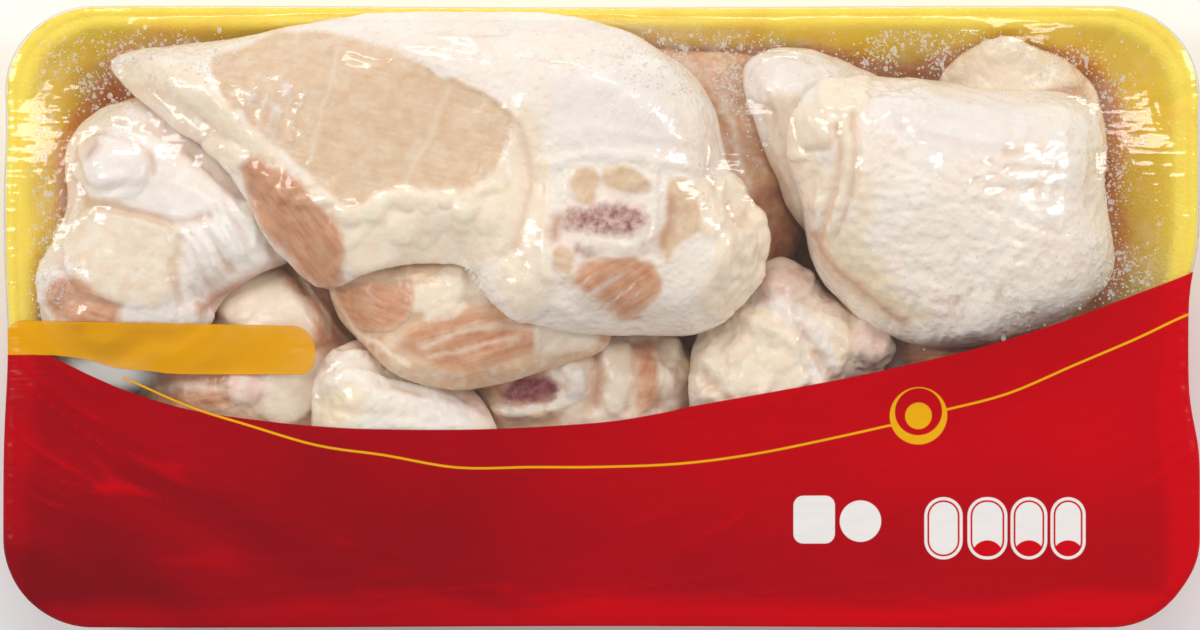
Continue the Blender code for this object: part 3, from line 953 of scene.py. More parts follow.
def back_ribs() -> ChickenPiece:
    """The ribs: thin membrane over muscle, with pads of fat."""
    features = (
        Patch(MUSCLE, mm("-81,17 -72,20 -60,20 -49,17 -52,12 -64,10 -76,11"), 0.4, 3.0, 5),
        Patch(PINK, mm("-83,10 -72,11 -60,10 -59,4 -64,-3 -73,-3 -81,3"), -0.4, 3.0, -20),
        Patch(FAT, mm("-61,14 -54,17 -44,16 -42,8 -48,1 -57,1 -61,7"), 1.0),
        Patch(MEMBRANE, mm("-44,16 -37,17 -33,13 -34,6 -41,5 -44,10"), 0.6),
        Patch(PINK, mm("-59,-4 -47,1 -32,2 -21,-2 -22,-9 -32,-14 -47,-16 -57,-11"), 0.4, 3.0, 14),
        Patch(MEMBRANE, mm("-21,-1 -11,-1 -2,-4 -2,-9 -13,-11 -21,-10"), 0.5),
        Streak(MEMBRANE, mm("-56,-9 -44,-4 -32,-2 -22,-4"), 0.8),
        Streak(MEMBRANE, mm("-54,-12 -41,-9 -27,-6"), 0.7),
        Streak(MEMBRANE, mm("-51,-6 -38,-2 -26,0"), 0.7),
        Streak(FAT, mm("-85,15 -82,5 -74,-5 -60,-14"), 1.6),
        Scallops(FAT, mm("-59,13 -51,15 -44,11 -46,4 -53,3"), 3.6, 0.9),
        Streak(BLOOD, mm("-60,-9 -58,-10"), 2.2),
        Fold(mm("-62,-4 -51,3 -32,5 -19,1"), -0.8, 1.4),
        Fold(mm("-59,-14 -44,-17 -26,-14 -13,-10"), 0.9, 2.0),
        Fold(mm("-21,-2 -21,-10"), 0.8, 1.5),
        Relief(LUMP, mm("-82,21 0,21 0,-10 -63,-17"), 8.0, 0.5),
        Relief(PLEAT, mm("-60,2 -22,4 0,-3 -4,-11 -57,-16"), 3.0, 0.3, 14),
    )
    return ChickenPiece("back_ribs", "meat", FLESH, features, grain_turn=14, seed=4)


def hip_joint() -> ChickenPiece:
    """The cut joint: bone ends with dark marrow between fat and muscle."""
    features = (
        Patch(FAT, mm("-13,-7 18,-6 21,-32 -13,-34"), 0.0),
        Patch(CLOT, mm(
            "-31,-21 -27,-18 -19,-17 -14,-19 -12,-22 -16,-26 -22,-27 -28,-27 -32,-25"), -0.8),
        Patch(BONE, mm(
            "-17,-16 -11,-13 -6,-15 -4,-19 -4,-24 -9,-27 -16,-29 -18,-27 -12,-24 -10,-21 "
            "-13,-17"), 1.6),
        Patch(BONE, mm("-32,-27 -26,-28 -17,-27 -17,-30 -26,-31 -32,-29"), 1.0),
        Patch(BONE, mm("-33,-17 -29,-16 -27,-19 -30,-24 -32,-22"), 0.8),
        Patch(MEMBRANE, mm("0,-9 6,-7 10,-12 10,-25 5,-30 0,-26"), 0.8, 3.0, 80),
        Patch(PINK, mm("10,-9 16,-8 19,-14 18,-25 13,-29 10,-26"), 0.2, 3.0, 80),
        Patch(MEMBRANE, mm("18,-9 25,-10 28,-19 26,-27 20,-29 17,-20"), 0.6, 3.0, 80),
        Streak(MARROW, mm("23,-17 25,-21"), 2.0),
        Streak(BLOOD, mm("-47,-19 -40,-21 -33,-22"), 4.0),
        Streak(BLOOD, mm("-2,-12 -1,-20 -2,-27"), 2.0),
        Streak(FAT, mm("0,-6 12,-7 25,-9"), 2.4, 0.6),
        Fold(mm("-2,-10 -1,-20 -4,-29"), -1.6, 1.8),
        Fold(mm("10,-9 10,-20 8,-29"), -1.0, 1.3),
        Fold(mm("18,-9 18,-20 17,-29"), -1.0, 1.3),
        Fold(mm("-32,-29 -22,-31 -13,-28"), 0.9, 2.0),
        Lobe((-9, -20), 5, 1.6),
        Relief(LUMP, mm("-35,-7 31,-7 31,-36 -35,-36"), 6.0, 0.8),
        Relief(PLEAT, mm("0,-7 30,-7 30,-32 0,-32"), 3.0, 0.35, 84),
    )
    return ChickenPiece("hip_joint", "meat", FLESH, features, grain_turn=84, seed=5)


def drumstick_left() -> ChickenPiece:
    """A drumstick's smooth stretched skin."""
    features = (
        Patch(YELLOW, mm("-89,-25 -79,-21 -73,-27 -79,-34 -89,-34")),
        Patch(THIN, mm("-57,-17 -38,-20 -34,-27 -41,-34 -56,-31")),
        Streak(BLOOD, mm("-72,-11 -60,-11 -47,-16 -38,-19"), 1.6),
        Streak(FAT, mm("-84,-10 -74,-8 -63,-9"), 3.0, 0.8),
        Fold(mm("-81,-11 -69,-10 -57,-12 -42,-18 -36,-23"), -1.8, 1.2),
        Fold(mm("-80,-16 -71,-14 -60,-17 -49,-21 -41,-26"), -0.8, 1.1),
        Fold(mm("-86,-27 -79,-29 -69,-30 -57,-31"), -0.6, 1.4),
        Fold(mm("-82,-14 -69,-13 -57,-16 -44,-21"), 0.9, 1.8),
        Fold(mm("-84,-17 -76,-16 -66,-18"), -0.6, 1.3),
        Fold(mm("-88,-23 -82,-20 -78,-14"), 0.8, 2.2),
        Relief(PLEAT, mm("-85,-7 -38,-10 -35,-26 -85,-23"), 3.0, 0.7, -16),
        Relief(PEBBLE, mm("-89,-14 -63,-12 -38,-23 -35,-34 -89,-34"), 3.2, 0.5),
        Patch(ROSE, mm("-51,-14 -41,-16 -34,-24 -34,-32 -41,-29 -47,-22")),
    )
    skin = RawPoultry(base="#FFF3E4", other="#F7E3D0", pores=0.5)
    return ChickenPiece("drumstick_left", "skin", skin, features, seed=6)


def thigh_left() -> ChickenPiece:
    """A thigh with its cut face up: cream fat round striated muscle."""
    features = (
        Patch(FAT, mm("-121,10 -113,14 -102,14 -94,8 -88,0 -89,-9 -101,-7 -113,-4 -121,1"), 0.7),
        Patch(PINK, mm("-101,15 -93,16 -85,8 -80,0 -82,-9 -89,-10 -89,-3 -94,6"), -0.5, 3.0, -55),
        Patch(PINK, mm(
            "-145,-14 -129,-9 -112,-10 -109,-19 -115,-27 -129,-30 -141,-26"), -0.3, 3.0, 8),
        Patch(ROSE, mm("-118,-17 -112,-15 -106,-17 -106,-24 -111,-27 -117,-26")),
        Patch(FAT, mm("-109,-22 -98,-11 -88,-12 -89,-26 -98,-34 -106,-32"), 0.6),
        Streak(FAT, mm("-141,-19 -129,-16 -118,-17"), 2.2, 0.6),
        Streak(MEMBRANE, mm("-138,-24 -126,-22 -116,-24"), 1.4),
        Streak(MEMBRANE, mm("-96,13 -89,4 -85,-7"), 1.0),
        Streak(MEMBRANE, mm("-115,-16 -111,-20 -108,-25"), 1.6),
        Fold(mm("-121,0 -110,-9 -94,-11 -85,-10"), -1.1, 1.8),
        Fold(mm("-118,-27 -121,-21 -119,-16 -113,-13"), -1.0, 1.6),
        Fold(mm("-119,8 -107,10 -96,5 -91,-4"), 0.8, 2.2),
        Lobe((-112, -22), 5.5, 1.8),
        Lobe((-115, 5), 8, 1.0),
        Relief(PLEAT, mm("-102,17 -79,16 -78,-11 -91,-11"), 3.0, 0.4, -55),
        Relief(LUMP, mm("-145,-7 -107,-7 -107,-36 -145,-36"), 6.0, 0.9),
        Relief(LUMP, mm("-124,15 -85,15 -85,-10 -124,-10"), 8.0, 0.5),
    )
    return ChickenPiece("thigh_left", "meat", FLESH, features, grain_turn=-55, seed=7)


def wing_left() -> ChickenPiece:
    """A wing folded on itself, its joints and skin ridges towards the camera."""
    features = (
        Patch(THIN, mm(
            "-148,68 -135,69 -121,63 -110,52 -104,40 -113,38 -124,49 -138,58 -150,61"), 0.5),
        Patch(THIN, mm("-163,52 -156,55 -145,53 -140,48 -143,42 -152,41 -161,44"), 1.1, 3.0, 10),
        Patch(THIN, mm("-157,44 -141,43 -125,40 -119,32 -133,30 -148,33"), 0.4),
        Patch(THIN, mm("-154,40 -138,42 -122,36 -121,30 -135,30 -148,33")),
        Patch(YELLOW, mm("-154,17 -147,20 -143,15 -146,9 -152,10")),
        Patch(MEMBRANE, mm("-162,36 -148,35 -133,28 -131,17 -136,5 -151,4 -162,10 -167,21"), 0.8),
        Patch(PINK, mm("-174,10 -162,12 -150,4 -151,-4 -162,-4 -172,0"), -0.4, 3.0, -20),
        Patch(BONE, mm("-130,3 -125,5 -122,1 -126,-3 -130,-2"), 1.0),
        Streak(BLOOD, mm("-124,3 -113,10 -102,16"), 3.0),
        Streak(BLOOD, mm("-160,52 -157,55"), 1.6),
        Streak(MEMBRANE, mm("-141,67 -126,60 -111,48"), 2.0),
        Streak(FAT, mm("-167,65 -157,68 -145,68"), 3.0, 0.4),
        Fold(mm("-162,40 -158,35 -145,32 -132,29 -122,31"), -2.0, 1.6),
        Fold(mm("-155,57 -148,55 -141,50 -140,45"), -1.3, 1.4),
        Fold(mm("-163,50 -156,40 -148,41"), -1.3, 1.5),
        Fold(mm("-150,61 -135,55 -121,45 -112,36"), -1.0, 1.6),
        Fold(mm("-148,68 -132,65 -118,57 -106,43"), 1.2, 3.0),
        Fold(mm("-131,26 -126,23 -124,17"), 0.9, 1.3),
        Fold(mm("-127,28 -122,23 -120,17"), 0.9, 1.3),
        Fold(mm("-123,30 -118,24 -116,18"), 0.9, 1.3),
        Fold(mm("-119,31 -113,25 -111,20"), 0.9, 1.2),
        Fold(mm("-115,33 -109,27 -108,22"), 0.8, 1.2),
        Fold(mm("-111,35 -106,30 -104,24"), 0.8, 1.2),
        Fold(mm("-133,24 -129,19 -128,12"), 0.9, 1.4),
        Fold(mm("-132,5 -133,15 -130,24"), -1.4, 1.8),
        Fold(mm("-168,17 -162,6 -150,3"), -1.2, 1.6),
        Lobe((-152, 47), 12, 1.5),
        Lobe((-126, 1), 4, 1.4),
        Lobe((-173, 11), 7, 1.6),
        Relief(PLEAT, mm("-135,30 -121,35 -103,38 -99,21 -113,13 -127,5 -131,17"), 2.8, 1.2, -62),
        Relief(PEBBLE, mm("-163,36 -132,28 -132,5 -163,5"), 3.0, 0.35),
        Relief(PLEAT, mm("-151,69 -132,68 -105,49 -104,38 -120,43 -141,58"), 4.0, 0.4, -38),
        Relief(LUMP, mm("-179,21 -165,21 -160,-4 -179,-4"), 6.0, 1.0),
    )
    return ChickenPiece("wing_left", "skin", ROSY_SKIN, features, voxel=0.7, seed=8)


def wing_right() -> ChickenPiece:
    """A wing with bumpy cream skin and a pink tip."""
    features = (
        Patch(FAT, mm("26,-7 37,0 53,-2 64,-9 62,-24 43,-29 29,-25"), 0.5),
        Scallops(FAT, mm("28,-6 37,0 48,0 59,-5 64,-11"), 3.6, 1.2),
        Scallops(ROSE, mm("52,14 57,16 62,15 65,11"), 3.0, 1.2),
        Patch(ROSE, mm("50,15 57,18 64,14 65,8 59,6 52,8"), 0.4),
        Patch(THIN, mm("62,-6 69,-4 73,-9 72,-17 66,-19 62,-14"), -1.2),
        Patch(YELLOW, mm("73,-5 78,-4 80,-10 77,-15 73,-12")),
        Patch(ROSE, mm("80,-3 89,-2 92,-7 89,-16 82,-17 78,-11"), 0.5),
        Patch(THIN, mm("47,5 60,8 66,2 62,-4 51,-3")),
        Streak(FAT, mm("80,-4 86,-6 90,-9"), 2.0, 0.8),
        Streak(BLOOD, mm("70,8 74,5 78,2"), 2.0),
        Streak(MEMBRANE, mm("62,5 72,2 80,-2"), 2.5, 0.6),
        Streak(FAT, mm("78,-11 82,-16 87,-16"), 2.2, 0.8),
        Fold(mm("26,-10 31,-17 40,-26"), -1.0, 1.8),
        Fold(mm("62,-4 66,-10 72,-19"), -1.4, 1.8),
        Fold(mm("77,-2 78,-9 75,-17"), -1.1, 1.4),
        Fold(mm("50,6 59,5 66,2"), -1.0, 1.5),
        Fold(mm("43,-1 53,-4 61,-11"), 0.8, 2.4),
        Lobe((58, 12), 8, 1.6),
        Lobe((83, -7), 6, 1.3),
        Lobe((87, -13), 5, 1.2),
        Lobe((31, -11), 6, 1.2),
        Relief(LUMP, mm("26,2 65,2 65,-29 26,-29"), 5.0, 0.8),
        Relief(PEBBLE, mm("28,0 64,0 64,-27 28,-27"), 3.0, 0.5),
        Relief(CRINKLE, mm("62,5 94,2 92,-20 62,-23"), 4.0, 0.6),
    )
    return ChickenPiece("wing_right", "skin", SKIN, features, seed=9)


def thigh_right() -> ChickenPiece:
    """The large thigh: follicled skin with round lobes of fat at its near edge."""
    features = (
        Patch(FAT, mm("57,58 60,63 67,65 72,61 72,55 69,52 65,52 65,49 60,50"), 1.7, 1.2),
        Scallops(FAT, mm("62,49 65,43 66,36"), 3.4, 1.2),
        Patch(FAT, mm("67,70 71,74 77,73 80,75 83,72 83,67 78,62 73,62 68,64"), 1.5, 1.2),
        Patch(FAT, mm("72,64 78,63 78,49 74,36 70,25 68,33 71,49"), 0.6, 2.0),
        Patch(YELLOW, mm("66,24 78,27 87,17 94,5 103,0 90,-2 78,5 70,14")),
        Patch(YELLOW, mm("78,46 83,40 81,27 77,33")),
        Patch(MEMBRANE, mm("76,57 78,56 78,38 75,36"), 0.0),
        Patch(THIN, mm("87,68 125,68 137,58 112,49 90,55")),
        Streak(YELLOW, mm("77,56 78,47 76,37"), 1.0),
        Streak(BLOOD, mm("66,25 72,15 83,5 94,-2"), 1.4),
        Fold(mm("73,59 74,49 72,36 69,25"), -1.5, 1.1),
        Fold(mm("77,61 78,49 77,36 73,26"), -1.4, 1.2),
        Fold(mm("75,60 77,49 75,36 72,26"), 1.5, 1.2),
        Fold(mm("80,62 82,49 79,35"), 1.0, 1.8),
        Fold(mm("67,50 69,40 67,28"), 1.0, 1.8),
        Fold(mm("65,52 70,53 72,58"), -0.8, 1.1),
        Fold(mm("83,67 87,68 94,70"), -0.6, 1.2),
        Fold(mm("87,0 103,-5 119,-4"), 0.8, 2.6),
        Fold(mm("112,-2 119,1 131,3"), 0.6, 2.4),
        Fold(mm("152,71 156,52 157,27 156,15"), 0.8, 3.0),
        Fold(mm("94,60 112,52 137,50"), -0.45, 1.4),
        Fold(mm("90,50 109,41 134,38"), -0.4, 1.4),
        Fold(mm("94,33 115,35 141,26"), -0.35, 1.4),
        Relief(PEBBLE, mm("82,73 97,73 103,65 97,52 85,40 82,55"), 3.2, 1.2),
        Relief(PEBBLE, mm("68,43 94,49 103,18 112,-1 87,-1 70,17"), 3.6, 0.8),
        Relief(PLEAT, mm("87,69 156,71 158,18 125,2 94,5"), 2.6, 0.22, -12),
        Relief(CRINKLE, mm("112,52 156,65 158,11 125,-1 103,5"), 5.0, 0.35),
        Relief(PLEAT, mm("94,8 125,10 144,8 125,-7 94,-7"), 3.0, 0.7, 75),
        Relief(LUMP, mm("59,65 81,65 75,24 65,24"), 6.0, 0.5),
    )
    return ChickenPiece("thigh_right", "skin", PALE_SKIN, features, seed=10)


def drumstick_right() -> ChickenPiece:
    """A drumstick whose thin skin is stretched into ridges."""
    features = (
        Patch(THIN, mm("45,83 59,84 72,82 77,76 68,67 55,65 45,70"), 0.4),
        Patch(MEMBRANE, mm("49,69 62,68 69,52 68,33 62,29 55,43 51,58")),
        Streak(YELLOW, mm("59,65 62,52 64,36"), 4.0),
        Fold(mm("50,70 55,55 61,40 63,31"), 0.8, 1.3),
        Fold(mm("54,69 58,55 63,41"), 0.8, 1.2),
        Fold(mm("58,69 62,57 66,44"), 0.7, 1.2),
        Fold(mm("52,69 57,55 62,40"), -0.6, 1.0),
        Fold(mm("47,79 59,77 73,72"), 0.6, 3.0),
        Relief(PLEAT, mm("47,72 65,70 70,46 64,29 53,49"), 3.2, 0.5, -66),
        Relief(CRINKLE, mm("45,85 94,83 87,65 45,68"), 5.0, 0.35),
    )
    return ChickenPiece("drumstick_right", "skin", ROSY_SKIN, features, seed=11)


def back_tail() -> ChickenPiece:
    """The back and tail under the right thigh, its flap turned up behind."""
    features = (
        Patch(FAT, mm("105,74 115,83 125,88 137,83 149,75 153,68 137,68 119,70"), 0.6),
        Patch(PINK, mm("94,-7 112,-7 122,-11 112,-17 97,-17")),
        Patch(MEMBRANE, mm("147,71 156,65 159,43 155,18 151,43")),
        Streak(BLOOD, mm("107,71 122,68 137,68 152,70"), 1.8),
        Fold(mm("106,70 122,68 137,68 152,72"), -1.8, 1.6),
        Fold(mm("109,75 122,82 134,81 147,74"), 1.0, 2.6),
        Lobe((126, 85), 6, 1.4),
        Relief(PEBBLE, mm("106,87 156,83 156,65 106,68"), 3.2, 0.5),
        Relief(LUMP, mm("84,-4 125,-4 125,-23 84,-23"), 6.0, 0.6),
    )
    return ChickenPiece("back_tail", "skin", SKIN, features, voxel=1.0, seed=12)


def breast_under() -> ChickenPiece:
    """The breast half below, seen only in the gap: tan muscle that darkens downwards."""
    features = (
        Patch(BLOOD, mm("47,38 57,41 64,33 65,17 56,15 48,26")),
        Patch(PINK, mm("57,25 62,29 66,22 63,15 58,17"), 0.8),
        Streak(MEMBRANE, mm("38,70 43,55 47,42"), 1.4),
        Streak(FAT, mm("41,41 44,36 47,30"), 2.2, 0.7),
        Relief(LUMP, mm("28,80 66,80 66,15 28,15"), 8.0, 0.6),
        Relief(PLEAT, mm("31,74 62,74 66,18 43,30"), 3.4, 0.4, -60),
    )
    return ChickenPiece(
        "breast_under", "meat", TAN_FLESH, features, voxel=1.0, grain_turn=-60, seed=13
    )


def chicken_pieces() -> list[ChickenPiece]:
    """All the pieces, from the lowest to the highest."""
    return [
        back_tail(),
        breast_under(),
        drumstick_right(),
        hip_joint(),
        thigh_left(),
        drumstick_left(),
        wing_right(),
        wing_left(),
        back_ribs(),
        thigh_right(),
        breast_top(),
    ]


@dataclass(frozen=True)
class PolystyreneFoam:
    """Extruded polystyrene foam sheet, thermoformed into a tray.

    Its skin is satin with a fine cell pattern about a millimetre across. The foam glows a
    little, because light goes into it, and juice stains it orange where meat lies near.
    """

    colour: str = "#FFD93A"
    rim: str = "#FFE252"
    cloud: str = "#F8C233"
    stain: str = "#F8A634"
    pale_stain: str = "#FFC964"

    CELL = 1.1

    def build(self) -> bpy.types.Material:
        """Makes the material."""
        material, add = new_material("yellow_polystyrene_foam")
        coords = add("TexCoord").outputs["Object"]
        cells = add(
            "TexVoronoi", {"Vector": coords, "Scale": 1 / (self.CELL * MM)}, feature="F1"
        ).outputs["Distance"]
        cloud = add("TexNoise", {"Vector": coords, "Scale": 1 / (14 * MM), "Detail": 3.0})
        fine = add("TexNoise", {"Vector": coords, "Scale": 1 / (2.2 * MM), "Detail": 2.0})
        brighter = add("Attribute", attribute_name="rim").outputs["Fac"]
        wet = add("Attribute", attribute_name="juice").outputs["Fac"]
        uneven = add("MapRange", {"Value": cloud, "From Min": 0.3, "From Max": 0.7, "To Max": 0.4})
        patchy = add("Math", {0: cloud, 1: 0.9, 2: wet}, operation="MULTIPLY_ADD")
        stained = add("MapRange", {"Value": patchy, "From Min": 0.55, "From Max": 1.0})
        spots = add("MapRange", {"Value": fine, "From Min": 0.3, "From Max": 0.7})
        stain = add(
            "Mix",
            {0: spots, MIX_A: linear(self.stain), MIX_B: linear(self.pale_stain)},
            data_type="RGBA",
        )
        colour: object = linear(self.colour)
        for share, tone in (
            (brighter, linear(self.rim)),
            (uneven, linear(self.cloud)),
            (stained, stain),
        ):
            colour = add("Mix", {0: share, MIX_A: colour, MIX_B: tone}, data_type="RGBA")
        height = add("Math", {0: fine, 1: 0.5, 2: cells}, operation="MULTIPLY_ADD")
        bump = add("Bump", {"Strength": 0.35, "Distance": 0.5 * MM, "Height": height})
        shader = add(
            "BsdfPrincipled",
            {
                "Base Color": colour,
                "Roughness": 0.5,
                "IOR": 1.5,
                "Subsurface Weight": 0.4,
                "Subsurface Radius": (1.0, 0.95, 0.4),
                "Subsurface Scale": 5.0 * MM,
                "Normal": bump,
            },
        )
        add("OutputMaterial", {"Surface": shader})
        return material


def rounded_outline(inset: float, steps: int, side_share: float) -> np.ndarray:
    """Points round the pack's outline, moved in by inset.

    Args:
        inset: How far in, at the ends, in millimetres.
        steps: Points round each corner.
        side_share: How much of the inset the long sides get.

    Returns:
        Plan points, anticlockwise, with straights as finely cut as the corners.
    """
    half = np.array([HALF_LENGTH - inset, HALF_WIDTH - side_share * inset])
    radius = CORNER_RADIUS - 0.35 * inset
    points = []
    quarter = np.linspace(0, math.pi / 2, steps)
    for sign_x, sign_y, start in ((1, 1, 0), (-1, 1, 90), (-1, -1, 180), (1, -1, 270)):
        centre = (half - radius) * (sign_x, sign_y)
        angles = math.radians(start) + quarter
        points.append(centre + radius * np.column_stack([np.cos(angles), np.sin(angles)]))
    rows = []
    for index, corner in enumerate(points):
        after = points[(index + 1) % 4][0]
        count = SIDE_STEPS if index % 2 == 0 else END_STEPS
        rows.append(corner)
        share = np.linspace(0, 1, count + 1)[1:-1, None]
        rows.append(corner[-1] * (1 - share) + after * share)
    return np.vstack(rows)


def pinched(points: np.ndarray) -> np.ndarray:
    """Draws the pack's ends in where the printed band of film holds them tight.

    Args:
        points: Places in millimetres, with x and y first.

    Returns:
        The places, moved.
    """
    x, y = points[:, 0], points[:, 1]
    near_end = smooth_step(np.abs(x), HALF_LENGTH - 45, HALF_LENGTH)
    right = 3.6 * np.exp(-(((y + 9) / 27) ** 4)) + 0.9 * np.exp(-(((y + 88) / 9) ** 2))
    left = 1.4 * np.exp(-(((y + 10) / 22) ** 2)) + 0.8 * np.exp(-(((y - 60) / 16) ** 2))
    moved = points.copy()
    moved[:, 0] = x - np.sign(x) * near_end * np.where(x > 0, right, left)
    near_side = smooth_step(np.abs(y), HALF_WIDTH - 30, HALF_WIDTH)
    sag = 0.5 + 0.5 * np.cos(x / 42)
    moved[:, 1] = y - np.sign(y) * near_side * 0.5 * sag
    return moved


def from_sides(plan: np.ndarray) -> np.ndarray:
    """Distance in from the nearest straight side of the pack."""
    return np.minimum(HALF_LENGTH - np.abs(plan[:, 0]), HALF_WIDTH - np.abs(plan[:, 1]))


def sweep_rings(obj: bpy.types.Object, rings: list[np.ndarray], fill: bool) -> None:
    """Extrudes the mesh's open edge through rings, one point of a ring for each edge point.

    Args:
        obj: An object whose mesh has one open edge, in the rings' order.
        rings: Points in millimetres, three to a row, for each ring.
        fill: Whether to close the last ring.
    """
    choose_only(obj)
    bpy.ops.object.mode_set(mode="EDIT")
    bpy.ops.mesh.select_mode(type="EDGE")
    bpy.ops.mesh.select_all(action="DESELECT")
    edit = bmesh.from_edit_mesh(obj.data)
    for edge in edit.edges:
        edge.select_set(edge.is_boundary)
    order = edit.verts.layers.int.new("ring order")
    count = len(rings[0])
    edit.verts.ensure_lookup_table()
    for index in range(count):
        edit.verts[index][order] = index
    for ring in rings:
        bpy.ops.mesh.extrude_edges_move()
        edit = bmesh.from_edit_mesh(obj.data)
        order = edit.verts.layers.int["ring order"]
        for vert in edit.verts:
            if vert.select:
                vert.co = ring[vert[order]] * MM
    if fill:
        bpy.ops.mesh.edge_face_add()
    bmesh.update_edit_mesh(obj.data)
    bpy.ops.object.mode_set(mode="OBJECT")


@dataclass
class FoamTray:
    """The foam tray: flat floor, walls that lean out, a rolled rim and folded corners."""

    side_share: float = 0.8
    corner_steps: int = 18
    foam: PolystyreneFoam = field(default_factory=PolystyreneFoam)
    obj: bpy.types.Object | None = field(default=None, init=False)

    # Rounds of blurring that spread the pieces' plan to where their juice runs
    JUICE_SPREAD = 60
    # The two ends of each crease in a corner
    CORNER_CREASES = (((163, 97), (152, 70)), ((187, 72), (160, 58)), ((176, 92), (156, 64)))

    def section(self) -> list[tuple[float, float]]:
        """The tray's section, in and up, from its underside over the rolled rim to its floor."""
        return [
            (30.8, 0.9),
            (29.0, 2.6),
            (26.0, 7.5),
            (20.0, 17.0),
            (14.0, 27.0),
            (8.3, 36.2),
            (6.4, 38.0),
            (4.2, 38.4),
            (2.0, 38.1),
            (0.9, 38.5),
            (0.55, 39.6),
            (0.8, 40.9),
            (1.7, 41.6),
            (2.9, 41.8),
            (3.9, 41.3),
            (4.6, 41.3),
            (5.6, 41.7),
            (7.2, 41.3),
            (8.6, 40.0),
            (9.8, 37.6),
            (11.4, 34.6),
            (14.0, 30.8),
            (17.0, 26.3),
            (20.0, 21.8),
            (23.5, 16.6),
            (27.0, 11.3),
            (30.0, 7.2),
            (32.5, 5.2),
            (36.0, 4.2),
            (42.0, 4.0),
        ]

    def build(self) -> bpy.types.Object:
        """Makes the tray from a flat plate swept out through its section."""
        section = self.section()
        first = rounded_outline(section[0][0], self.corner_steps, self.side_share)
        bpy.ops.object.select_all(action="DESELECT")
        bpy.ops.mesh.primitive_circle_add(
            vertices=len(first), radius=0.1, fill_type="NGON", location=(0, 0, 0)
        )
        obj = bpy.context.object
        obj.name = "foam_tray"
        flat = np.column_stack([first, np.full(len(first), section[0][1])])
        set_mesh_points(obj, flat)
        rings = []
        for inset, height in section[1:]:
            plan = rounded_outline(inset, self.corner_steps, self.side_share)
            rings.append(np.column_stack([plan, np.full(len(plan), height)]))
        sweep_rings(obj, rings, fill=True)
        choose_only(obj)
        bpy.ops.object.mode_set(mode="EDIT")
        bpy.ops.mesh.select_all(action="SELECT")
        bpy.ops.mesh.normals_make_consistent(inside=False)
        bpy.ops.object.mode_set(mode="OBJECT")
        bpy.ops.object.shade_smooth()
        self.obj = obj
        self.fold_corners()
        set_mesh_points(obj, pinched(mesh_points(obj)))
        return obj

    def fold_corners(self) -> None:
        """Presses the creases into the corners where the sheet was drawn in."""
        points, normals = mesh_points(self.obj), mesh_normals(self.obj)
        noise = Noise(5)
        inner = smooth_step(points[:, 2], 6.0, 20.0) * smooth_step(normals[:, 2], 0.1, 0.5)
        rise = 0.15 * noise.hills(points, 18)
        for sign_x, sign_y in product((-1, 1), repeat=2):
            for near, far in self.CORNER_CREASES:
                path = ((near[0] * sign_x, near[1] * sign_y), (far[0] * sign_x, far[1] * sign_y))
                away = distance_to(points[:, :2], np.array(path, float), False)
                rise -= 0.9 * inner * np.exp(-((away / 1.1) ** 2))
                rise += 0.45 * inner * np.exp(-(((away - 2.4) / 1.5) ** 2))
        set_mesh_points(self.obj, points + normals * rise[:, None])

    def dress(self, tops: HeightMap, juice: np.ndarray) -> None:
        """Stores where the rim and the juice are, gives the foam and hands over."""
        points = mesh_points(self.obj)
        store_attribute(self.obj, "rim", smooth_step(points[:, 2], 34.0, 40.0))
        wet = smooth_step(tops.at(juice, points[:, :2]), 0.0, 0.4)
        low = 1 - smooth_step(points[:, 2], 20.0, 35.0)
        inner = smooth_step(mesh_normals(self.obj)[:, 2], 0.0, 0.2)
        store_attribute(self.obj, "juice", wet * low * inner)
        self.obj.data.materials.clear()
        self.obj.data.materials.append(self.foam.build())
        hand_over(self.obj, "foam", "tray")


